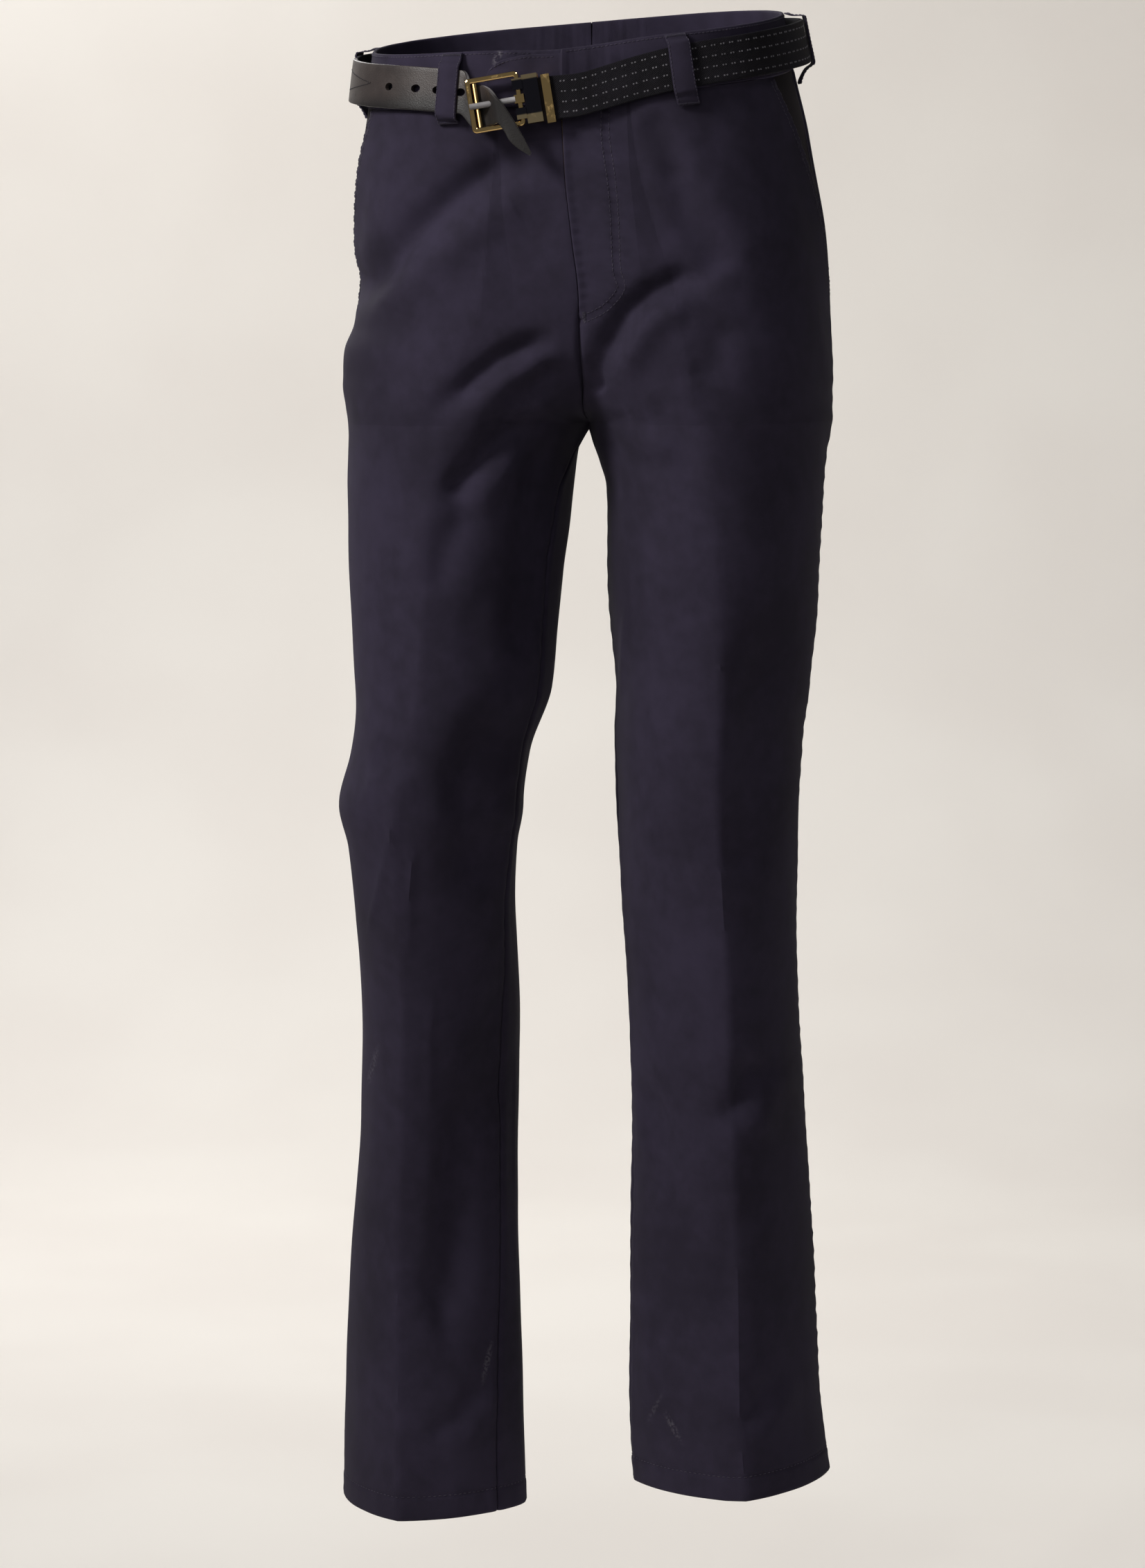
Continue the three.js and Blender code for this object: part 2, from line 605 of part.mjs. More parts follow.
// The belt's line round the waist: how far its inner face stands off the band, and where its top edge runs.
function fromFly(sideName, arc) {
  const [first, second] = quartersAt(sideName, 0);
  const length = arc < 1 ? arc * first.total : first.total + (arc - 1) * second.total;
  return SIDES[sideName] * length;
}

function arcFromFly(sideName, millimetres) {
  const [first, second] = quartersAt(sideName, 0);
  return millimetres < first.total ? millimetres / first.total
    : 1 + (millimetres - first.total) / second.total;
}

function beltStandOff(sideName, arc) {
  const hip = BELT_HIP_CLEARANCE * hump(arc - SIDE_SEAM, HIP_SPREAD);
  if (arc > SIDE_SEAM) {
    return BAND_PROUD + BELT_CLEARANCE + hip;
  }
  const along = fromFly(sideName, arc);
  const overTab = smooth((TAB_LENGTH + OVER_TAB.before + along) / OVER_TAB.rise)
    * smooth((OVER_TAB.after - along) / OVER_TAB.fall);
  const atBuckle = smooth((UNDER_BUCKLE.before + along) / UNDER_BUCKLE.run)
    * smooth((UNDER_BUCKLE.after - along) / UNDER_BUCKLE.run);
  return BAND_PROUD + BELT_CLEARANCE + hip + TAB_LIE * overTab + BUCKLE_SPACE * atBuckle;
}

function beltTop(x, y) {
  const dip = y < 0 ? BELT_DIP * hump(x - BELT_DIP_X, BELT_DIP_WIDTH) : 0;
  return -BELT_DROP - dip;
}

const BELT_SHARES = [0, 0.5, 1];

function beltRow(sideName, arc, thickness) {
  const [x, y] = ringPoint(sideName, 0, arc);
  const out = beltStandOff(sideName, arc) + thickness;
  return BELT_SHARES.map((share) => clothPoint(sideName, beltTop(x, y) - share * BELT_HEIGHT, arc, out));
}

// The buckle's own axes as a matrix, standing on the belt's outer face.
function buckleFrame() {
  const arc = arcFromFly('right', BUCKLE_X);
  const out = beltStandOff('right', arc) + LEATHER_THICKNESS + 0.4;
  const origin = clothPoint('right', BUCKLE_Z, arc, out);
  const w = surfaceNormal('right', BUCKLE_Z, arc);
  const level = new THREE.Vector3(0, 0, 1).cross(w).normalize();
  const u = level.applyAxisAngle(w, THREE.MathUtils.degToRad(BUCKLE_TURN));
  const v = w.clone().cross(u);
  return new THREE.Matrix4().makeBasis(u, v, w).setPosition(origin);
}

const BUCKLE = buckleFrame();

function onBuckle(u, v, w) {
  return new THREE.Vector3(u, v, w).applyMatrix4(BUCKLE);
}

// Solids for cutting and joining
const wasm = await Module();
wasm.setup();

function solid(geometry) {
  const bare = geometry.clone();
  bare.deleteAttribute('normal');
  bare.deleteAttribute('uv');
  const merged = mergeVertices(bare, 1e-4);
  return new wasm.Manifold(new wasm.Mesh({
    numProp: 3,
    vertProperties: new Float32Array(merged.attributes.position.array),
    triVerts: new Uint32Array(merged.index.array),
  }));
}

function surface(manifold) {
  const mesh = manifold.getMesh();
  const geometry = new THREE.BufferGeometry();
  geometry.setAttribute('position', new THREE.BufferAttribute(new Float32Array(mesh.vertProperties), 3));
  geometry.setIndex(new THREE.BufferAttribute(new Uint32Array(mesh.triVerts), 1));
  geometry.computeVertexNormals();
  return geometry;
}

function block(left, right, bottom, top, back, front) {
  const geometry = new THREE.BoxGeometry(right - left, top - bottom, front - back);
  return geometry.translate((left + right) / 2, (bottom + top) / 2, (back + front) / 2);
}

function rod(from, to, radius, sides) {
  const axis = to.clone().sub(from);
  const geometry = new THREE.CylinderGeometry(radius, radius, axis.length(), sides);
  const turn = new THREE.Quaternion().setFromUnitVectors(new THREE.Vector3(0, 1, 0), axis.clone().normalize());
  const middle = from.clone().add(to).multiplyScalar(0.5);
  return geometry.applyQuaternion(turn).translate(middle.x, middle.y, middle.z);
}

function roundedRectangle(target, left, right, bottom, top, radius) {
  const quarter = Math.PI / 2;
  target.absarc(right - radius, top - radius, radius, 0, quarter);
  target.absarc(left + radius, top - radius, radius, quarter, 2 * quarter);
  target.absarc(left + radius, bottom + radius, radius, 2 * quarter, 3 * quarter);
  target.absarc(right - radius, bottom + radius, radius, 3 * quarter, 4 * quarter);
  return target;
}

function buckleFrameBars() {
  const bevel = 0.9;
  const outer = [FRAME_LEFT, FRAME_RIGHT, -FRAME_HALF_HEIGHT, FRAME_HALF_HEIGHT];
  const shape = new THREE.Shape();
  roundedRectangle(shape, outer[0] + bevel, outer[1] - bevel, outer[2] + bevel, outer[3] - bevel, 2.4);
  const window = new THREE.Path();
  roundedRectangle(window, outer[0] + FRAME_BAR - bevel, outer[1] - HINGE_BAR + bevel,
    outer[2] + FRAME_BAR - bevel, outer[3] - FRAME_BAR + bevel, 1.6);
  shape.holes.push(window);
  const options = { depth: FRAME_DEPTH - 2 * bevel, bevelThickness: bevel, bevelSize: bevel, bevelSegments: 2,
    curveSegments: 3 };
  return new THREE.ExtrudeGeometry(shape, options).translate(0, 0, bevel).applyMatrix4(BUCKLE);
}

function roundBar() {
  const reach = FRAME_HALF_HEIGHT - FRAME_BAR - SEAM_GAP;
  const from = new THREE.Vector3(ROUND_BAR_U, -reach, FRAME_DEPTH / 2);
  const to = new THREE.Vector3(ROUND_BAR_U, reach, FRAME_DEPTH / 2);
  return rod(from, to, ROUND_BAR_RADIUS, 12).applyMatrix4(BUCKLE);
}

// An eye that wraps the hinge bar, from one height to another.
function hingeEye(bottom, top) {
  const clear = SEAM_GAP;
  const left = FRAME_RIGHT - HINGE_BAR - clear;
  const right = FRAME_RIGHT + clear;
  const eye = solid(block(left - PLATE, right + PLATE, bottom, top, -clear - PLATE, FRAME_DEPTH + clear + PLATE));
  return eye.subtract(solid(block(left, right, bottom - 1, top + 1, -clear, FRAME_DEPTH + clear)));
}

const EYE_HALF_HEIGHT = 3;

function prongPoints() {
  const root = new THREE.Vector3(FRAME_RIGHT - HINGE_BAR - 1, PRONG_V, FRAME_DEPTH + PRONG_RADIUS - 0.4);
  const tip = new THREE.Vector3(FRAME_LEFT + 1, PRONG_V, FRAME_DEPTH + PRONG_RADIUS + SEAM_GAP);
  return { root, tip };
}

function prong() {
  const { root, tip } = prongPoints();
  const tongue = solid(rod(root, tip, PRONG_RADIUS, 10));
  return surface(hingeEye(PRONG_V - EYE_HALF_HEIGHT, PRONG_V + EYE_HALF_HEIGHT).add(tongue)).applyMatrix4(BUCKLE);
}

// The clamp folds round the webbing's end, and its two eyes hold the frame's hinge bar.
function clampPlate() {
  const { left, right, bottom, top, front } = CLAMP;
  const body = solid(block(left, right, bottom, top, BACK_PLATE, front));
  const webbing = solid(block(left + PLATE, right + 1, bottom - 1, top + 1, BACK_PLATE + PLATE, -0.6));
  const half = EYE_HALF_HEIGHT + SEAM_GAP;
  const notch = solid(block(left - 1, left + 0.6, PRONG_V - half, PRONG_V + half, BACK_PLATE - 1, front + 1));
  const [upperEye, lowerEye] = CLAMP_EYES.map(([from, to]) => hingeEye(from, to));
  const eyes = upperEye.add(lowerEye);
  return surface(body.subtract(webbing).subtract(notch).add(eyes)).applyMatrix4(BUCKLE);
}

function endBar() {
  const { left, right, bottom, top, front } = END_BAR;
  const ring = solid(block(left, right, bottom, top, BACK_PLATE, front));
  const slot = block(left - 1, right + 1, bottom + PLATE, top - PLATE, BACK_PLATE + PLATE, -0.6);
  return surface(ring.subtract(solid(slot))).applyMatrix4(BUCKLE);
}

// A strip whose outer face is a grid of points, thickened inwards along the grid's own normals.
function strip(rows, thickness) {
  const clampRow = (i) => rows[Math.min(rows.length - 1, Math.max(0, i))];
  const inner = rows.map((row, i) => row.map((point, j) => {
    const along = clampRow(i + 1)[j].clone().sub(clampRow(i - 1)[j]);
    const across = row[Math.min(row.length - 1, j + 1)].clone().sub(row[Math.max(0, j - 1)]);
    const normal = across.cross(along).normalize();
    return point.clone().addScaledVector(normal, -thickness);
  }));
  return wall(rows, inner);
}

// The leather's end behind and through the buckle: its top and bottom edges in the buckle's own axes.
const TAIL_COLUMNS = ['topU', 'topV', 'topW', 'bottomU', 'bottomV', 'bottomW'];
const TAIL = [
  [-19, 15, -0.4, -20.5, -15.2, -0.4],
  [-14, 15, -0.4, -15.2, -15.2, -0.4],
  [-9, 12, 4.4, -11, -15.2, 1.5],
  [-5, 7.5, 9.4, -6.5, -15.2, 5.4],
  [-2.5, 4, 11.2, -3.2, -15.2, 8.2],
  [1, 0, 11.4, 0, -21, 8.4],
  [7.4, -12.8, 10.4, 3, -28.5, 8.8],
  [12.6, -26, 9.4, 8.5, -35.5, 8.6],
  [17.2, -39.5, 8.2, 15.6, -41.5, 8.2],
];

function beltLeather() {
  const start = arcFromFly('right', LEATHER_TO_BUCKLE);
  const arcs = spread(LEATHER_END_ARC, start, 16);
  const round = arcs.map((arc) => beltRow('right', arc, LEATHER_THICKNESS));
  const tail = TAIL.map((row) => {
    const t = named(TAIL_COLUMNS, row);
    const mix = (a, b, share) => a + share * (b - a);
    return BELT_SHARES.map((share) => onBuckle(mix(t.topU, t.bottomU, share), mix(t.topV, t.bottomV, share),
      mix(t.topW, t.bottomW, share)));
  });
  let belt = solid(strip([...round, ...tail], LEATHER_THICKNESS));
  for (const arc of HOLE_ARCS) {
    belt = belt.subtract(solid(beltHole(arc)));
  }
  const { root, tip } = prongPoints();
  const slot = rod(root, tip, PRONG_RADIUS + 2 * SEAM_GAP, 10).applyMatrix4(BUCKLE);
  return surface(belt.subtract(solid(slot)));
}

function beltHole(arc) {
  const [x, y] = ringPoint('right', 0, arc);
  const z = beltTop(x, y) - BELT_HEIGHT / 2;
  const reach = (depth) => clothPoint('right', z, arc, beltStandOff('right', arc) + depth);
  const from = reach(-1);
  const to = reach(LEATHER_THICKNESS + 1);
  const hole = rod(from, to, HOLE_HEIGHT / 2, 8);
  const middle = from.clone().add(to).multiplyScalar(0.5);
  const stretch = HOLE_LENGTH / HOLE_HEIGHT;
  return hole.translate(-middle.x, -middle.y, -middle.z).scale(stretch, 1, 1)
    .translate(middle.x, middle.y, middle.z);
}

// The webbing runs from the clamp round the wearer's left and back to the leather's end.
function beltWebbing() {
  const last = CLAMP.left + PLATE + SEAM_GAP;
  const held = [last, CLAMP.right, END_BAR.right + 3].map((u) => {
    const top = HELD_WEBBING.top - HELD_WEBBING.slope * (u - END_BAR.right);
    return BELT_SHARES.map((share) => onBuckle(u, top - share * HELD_WEBBING.height, HELD_WEBBING.front));
  });
  const arcs = [
    ...[0.3, 0.5, 0.75, 1].map((arc) => ['left', arc]),
    ...spread(1.2, 2.38, 11).map((arc) => ['left', arc]),
    ...spread(2.5, 3.97, 9).map((arc) => ['left', arc]),
    ...spread(3.97, 2.55, 9).map((arc) => ['right', arc]),
    ...spread(2.4, LEATHER_END_ARC + 0.004, 4).map((arc) => ['right', arc]),
  ];
  const round = arcs.map(([sideName, arc]) => beltRow(sideName, arc, WEBBING_THICKNESS));
  return strip([...held, ...round], WEBBING_THICKNESS);
}

// A loop is sewn at the band's top edge, passes over the belt and is sewn again below it.
function loopProfile(sideName, arc) {
  const [x, y] = ringPoint(sideName, 0, arc);
  const top = beltTop(x, y);
  const bottom = top - BELT_HEIGHT;
  const sewn = BAND_PROUD + SEAM_GAP;
  const out = beltStandOff(sideName, arc) + LEATHER_THICKNESS + 2 * SEAM_GAP;
  return [[-1, sewn], [top / 2, sewn + 0.35 * out], [top + 1, out], [(top + bottom) / 2, out],
    [bottom - 1, out], [bottom - 5, sewn + 0.55 * (out - sewn)], [LOOP_BOTTOM + 2, sewn + 1],
    [LOOP_BOTTOM, sewn]];
}

const LOOP_STEPS = 8;

function loopWall(stationsAt) {
  const face = (depth) => spread(0, LOOP_STEPS - 1, LOOP_STEPS - 1).map((k) => (
    stationsAt(k / (LOOP_STEPS - 1)).map(([sideName, arc]) => {
      const [z, out] = loopProfile(sideName, arc)[k];
      return clothPoint(sideName, z, arc, out + depth);
    })));
  return wall(face(LOOP_CLOTH), face(0));
}

function beltLoop(sideName, topArc, bottomArc) {
  return loopWall((share) => {
    const arc = topArc + (bottomArc - topArc) * share;
    const half = arcStep(sideName, 0, arc, LOOP_WIDTH / 2);
    return [arc - half, arc, arc + half].map((a) => [sideName, a]);
  });
}

function centreLoop() {
  const half = arcStep('right', 0, 3.9, LOOP_WIDTH / 2);
  return loopWall(() => [['right', FULL_TURN - half], ['right', FULL_TURN], ['left', FULL_TURN - half]]);
}

const group = new THREE.Group();

function add(name, geometry, color, roughness, metalness) {
  const material = new THREE.MeshStandardMaterial({ color, roughness, metalness });
  const mesh = new THREE.Mesh(geometry, material);
  mesh.name = name;
  group.add(mesh);
}

const TWILL = 0x24222c;

for (const sideName of ['right', 'left']) {
  add(`front_${sideName}`, frontPanel(sideName), TWILL, 0.85, 0);
  add(`back_${sideName}`, backPanel(sideName), TWILL, 0.85, 0);
  add(`pocket_facing_${sideName}`, pocketFacing(sideName), TWILL, 0.85, 0);
}
add('fly_shield', flyShield(), TWILL, 0.85, 0);
add('waistband_right', waistbandRight(), TWILL, 0.85, 0);
add('waistband_left', waistbandLeft(), TWILL, 0.85, 0);
for (const row of LOOPS) {
  const loop = named(LOOP_COLUMNS, row);
  add(loop.name, beltLoop(loop.side, loop.topArc, loop.bottomArc), TWILL, 0.85, 0);
}
add(CENTRE_LOOP, centreLoop(), TWILL, 0.85, 0);
add('belt_leather', beltLeather(), 0x2b2524, 0.45, 0);
add('belt_webbing', beltWebbing(), 0x17161a, 0.9, 0);
add('buckle_frame', buckleFrameBars(), 0xd8c49a, 0.2, 1);
add('buckle_bar', roundBar(), 0xd8c49a, 0.2, 1);
add('buckle_prong', prong(), 0xd8c49a, 0.2, 1);
add('buckle_clamp', clampPlate(), 0xb9a784, 0.2, 1);
add('buckle_end_bar', endBar(), 0xd8c49a, 0.25, 1);

export default group;
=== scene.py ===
# %% [markdown]
# # Chino trousers with their own belt
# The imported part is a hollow, worn pair of cotton chinos in plain solids. This notebook dresses it: each cut
# piece of cloth becomes a fine shell on the same form, with its folds, pressed creases, puckers and sewing.
# The belt becomes leather and woven elastic, and the buckle polished pale gold metal.

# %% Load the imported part
import math
import bpy
import numpy as np
from mathutils import Matrix, Vector
from mathutils.bvhtree import BVHTree


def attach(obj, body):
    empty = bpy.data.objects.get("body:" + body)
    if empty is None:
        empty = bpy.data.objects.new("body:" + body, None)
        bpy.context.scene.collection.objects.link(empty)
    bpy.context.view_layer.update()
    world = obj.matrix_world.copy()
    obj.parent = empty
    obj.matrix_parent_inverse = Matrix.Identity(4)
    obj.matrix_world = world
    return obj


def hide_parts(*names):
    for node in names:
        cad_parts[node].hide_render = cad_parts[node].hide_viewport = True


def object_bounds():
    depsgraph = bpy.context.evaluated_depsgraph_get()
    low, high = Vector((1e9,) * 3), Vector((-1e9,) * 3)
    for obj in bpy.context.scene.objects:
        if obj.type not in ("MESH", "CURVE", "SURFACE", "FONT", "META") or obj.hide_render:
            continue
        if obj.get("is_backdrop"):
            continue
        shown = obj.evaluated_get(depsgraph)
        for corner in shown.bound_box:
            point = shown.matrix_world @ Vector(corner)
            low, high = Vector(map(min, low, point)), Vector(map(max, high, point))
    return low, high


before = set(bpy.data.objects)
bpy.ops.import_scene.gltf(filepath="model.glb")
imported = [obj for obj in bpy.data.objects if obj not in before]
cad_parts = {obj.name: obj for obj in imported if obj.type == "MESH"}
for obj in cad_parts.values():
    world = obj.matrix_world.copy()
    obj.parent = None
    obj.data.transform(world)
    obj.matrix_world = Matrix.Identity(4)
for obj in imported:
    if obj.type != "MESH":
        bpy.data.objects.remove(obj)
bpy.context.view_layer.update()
MM = 0.001

# %% [markdown]
# ## The form of the trousers
# A tailor's pattern could be draped by cloth simulation, but the worn shape is known from the photograph, so the
# form is written down instead: a closed oval for each height, given by its edges and its front, widest and
# back points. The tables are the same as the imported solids', in millimetres, so every piece lies on its solid.

# %% Seat and leg sections
CROTCH_Z = -283
BAND_HEIGHT = 40
SEAM_GAP = 0.3
# z, right, left, middle, centre, reach, front, widest, back, front power, back power
SEAT = [
    [0, -149, 149, 0, 45, 700, -110, 0, 100, 2.3, 2.3],
    [-40, -154, 157, 0, 48, 600, -112, 0, 106, 2.3, 2.3],
    [-88, -160, 168, 2, 52, 450, -114, 2, 118, 2.3, 2.2],
    [-138, -162, 178, 7, 60, 260, -117, 4, 132, 2.2, 2.2],
    [-188, -162, 184, 12, 70, 130, -119, 5, 136, 2.2, 2.1],
    [-208, -164, 185, 12, 74, 95, -119, 5, 134, 2.2, 2.1],
    [-226, -171, 186, 12, 79, 63, -119, 5, 131, 2.2, 2.1],
    [-253, -173, 187, 12, 84, 30, -118, 5, 124, 2.1, 2.1],
    [-271, -171, 186, 10, 88, 12, -116, 5, 116, 2.1, 2.1],
]
# z, outer, inner, front, widest, back, front power, back power, toe
RIGHT_LEG = [
    [-283, -170, 9, -115, 5, 110, 2.05, 2.1, 0],
    [-305, -170, 0, -114, 3, 104, 2.0, 2.05, 1],
    [-333, -170, -4, -113, 2, 97, 2.0, 2.0, 3],
    [-408, -166, -11, -112, -10, 76, 1.9, 1.95, 6],
    [-478, -162, -18, -113, -20, 62, 1.85, 1.9, 8],
    [-528, -165, -34, -115, -28, 55, 1.8, 1.9, 10],
    [-565, -173, -38, -116, -30, 54, 1.8, 1.85, 11],
    [-598, -166, -43, -108, -25, 57, 1.78, 1.82, 12],
    [-648, -163, -47, -92, -12, 68, 1.75, 1.8, 12],
    [-708, -163, -46, -72, 8, 88, 1.7, 1.75, 12],
    [-808, -168, -49, -50, 30, 108, 1.65, 1.7, 12],
    [-908, -178, -48, -40, 40, 116, 1.6, 1.65, 12],
    [-1008, -184, -45, -36, 42, 118, 1.55, 1.6, 12],
    [-1106, -187, -42, -36, 42, 118, 1.5, 1.6, 12],
]
LEFT_LEG = [
    [-283, 186, 9, -115, 5, 110, 2.05, 2.1, 0],
    [-305, 183, 14, -113, 3, 105, 2.0, 2.05, 1],
    [-333, 181, 22, -110, -2, 100, 2.0, 2.0, 3],
    [-408, 178, 23, -104, -2, 86, 1.85, 1.95, 6],
    [-478, 171, 29, -98, -4, 77, 1.75, 1.9, 8],
    [-518, 166, 28, -94, -3, 75, 1.72, 1.85, 9],
    [-568, 164, 30, -88, -2, 73, 1.7, 1.85, 10],
    [-628, 163, 32, -80, 2, 76, 1.65, 1.8, 11],
    [-708, 164, 37, -72, 8, 84, 1.6, 1.75, 12],
    [-808, 169, 39, -63, 16, 92, 1.58, 1.7, 12],
    [-908, 176, 38, -58, 20, 96, 1.55, 1.65, 12],
    [-1008, 181, 37, -58, 21, 98, 1.5, 1.6, 12],
    [-1079, 189, 40, -60, 20, 98, 1.5, 1.6, 12],
]
SIDES = {"right": -1, "left": 1}


def side_sections(name):
    side, rows = SIDES[name], []
    for z, right, left, middle, centre, reach, front, widest, back, fp, bp in SEAT:
        cx = middle + side * centre
        outer = left - cx if side > 0 else cx - right
        rows.append([z, cx, outer, centre + reach, front, widest, back, fp, bp, 0, middle])
    for z, outer, inner, front, widest, back, fp, bp, toe in (LEFT_LEG if side > 0 else RIGHT_LEG):
        half = abs(outer - inner) / 2
        rows.append([z, (outer + inner) / 2, half, half, front, widest, back, fp, bp, toe, inner])
    return np.array(rows, float)


SECTIONS = {name: side_sections(name) for name in SIDES}
HEM_Z = {name: SECTIONS[name][-1, 0] for name in SIDES}
print("hems at", HEM_Z)

# %% [markdown]
# Between the rows a cubic runs whose slopes never overshoot, so that no knee or hip bulges by accident. Arc
# positions go round each side: 0 at the inner or centre seam, 1 at the front crease, 2 at the side seam,
# 3 at the back crease and 4 back at the inner seam.

# %% Points on the bare form
OVAL_STEPS = 96


def smooth(t):
    c = np.clip(t, 0, 1)
    return c * c * (3 - 2 * c)


def hump(distance, width):
    return np.exp(-(distance / width) ** 2)


def even_slopes(step):
    """Slopes at the stations of a table, from its steps, that keep a cubic from overshooting."""
    a, b = step[:-1], step[1:]
    inner = np.where(a * b > 0, 2 * a * b / np.where(np.abs(a + b) < 1e-12, 1, a + b), 0)
    return np.concatenate([step[:1], inner, step[-1:]])


def cubic(s, run, start, start_slope, end, end_slope):
    """A point at share s of a run between two stations."""
    return ((2 * s**3 - 3 * s**2 + 1) * start + (s**3 - 2 * s**2 + s) * run * start_slope
            + (3 * s**2 - 2 * s**3) * end + (s**3 - s**2) * run * end_slope)


def sections_at(name, z):
    rows = SECTIONS[name]
    depth = np.clip(-z, -rows[0, 0], -rows[-1, 0])
    d = -rows[:, 0]
    slope = even_slopes((rows[1:] - rows[:-1]) / (d[1:] - d[:-1])[:, None])
    i = np.clip(np.searchsorted(d, depth, side="left") - 1, 0, len(d) - 2)
    run = (d[i + 1] - d[i])[:, None]
    s = (depth - d[i])[:, None] / run
    return cubic(s, run, rows[i], slope[i], rows[i + 1], slope[i + 1])


def ovals(name, z):
    side = SIDES[name]
    _, cx, outer, inner, front, widest, back, fp, bp, toe, middle = sections_at(name, z).T
    cut = np.where(z > CROTCH_Z, np.minimum(1, np.abs(cx - middle) / inner), 1)
    right, zero = np.full(len(z), math.pi / 2), np.zeros(len(z))
    start_front, start_back = np.arccos(cut ** (fp / 2)), np.arccos(cut ** (bp / 2))
    t, turn = np.linspace(0, 1, OVAL_STEPS + 1), np.radians(toe)[:, None]
    parts = []
    for half, depth, power, a, b in ((-inner, front - widest, fp, start_front, right),
                                     (outer, front - widest, fp, right, zero),
                                     (outer, back - widest, bp, zero, right),
                                     (-inner, back - widest, bp, right, start_back)):
        angle = a[:, None] + (b - a)[:, None] * t
        x = half[:, None] * np.abs(np.cos(angle)) ** (2 / power[:, None])
        y = depth[:, None] * np.abs(np.sin(angle)) ** (2 / power[:, None])
        px, py = x * np.cos(turn) - y * np.sin(turn), x * np.sin(turn) + y * np.cos(turn)
        parts.append(np.stack([cx[:, None] + side * (px + SEAM_GAP / 2), widest[:, None] + py], -1))
    points = np.stack(parts, 1)
    steps = np.linalg.norm(np.diff(points, axis=2), axis=-1)
    lengths = np.concatenate([np.zeros(points.shape[:2] + (1,)), np.cumsum(steps, axis=2)], axis=2)
    return points, lengths


def on_ovals(points, lengths, z, arc):
    closed = (z <= CROTCH_Z)[:, None]
    arc = np.where(closed, np.mod(arc + 4, 4), np.clip(arc, 0, 4))
    quarter = np.minimum(3, arc.astype(int))
    rows = np.arange(len(z))[:, None]
    run = lengths[rows, quarter]
    want = (arc - quarter) * run[..., -1]
    k = np.clip((run < want[..., None]).sum(-1), 1, OVAL_STEPS)
    low, high = (np.take_along_axis(run, j[..., None], -1)[..., 0] for j in (k - 1, k))
    share = ((want - low) / np.maximum(1e-9, high - low))[..., None]
    before, after = points[rows, quarter, k - 1], points[rows, quarter, k]
    return before + share * (after - before)


RING_ZERO = {name: ovals(name, np.array([0.0])) for name in SIDES}
print("half waists:", {name: round(float(RING_ZERO[name][1][0, :, -1].sum())) for name in SIDES}, "mm")
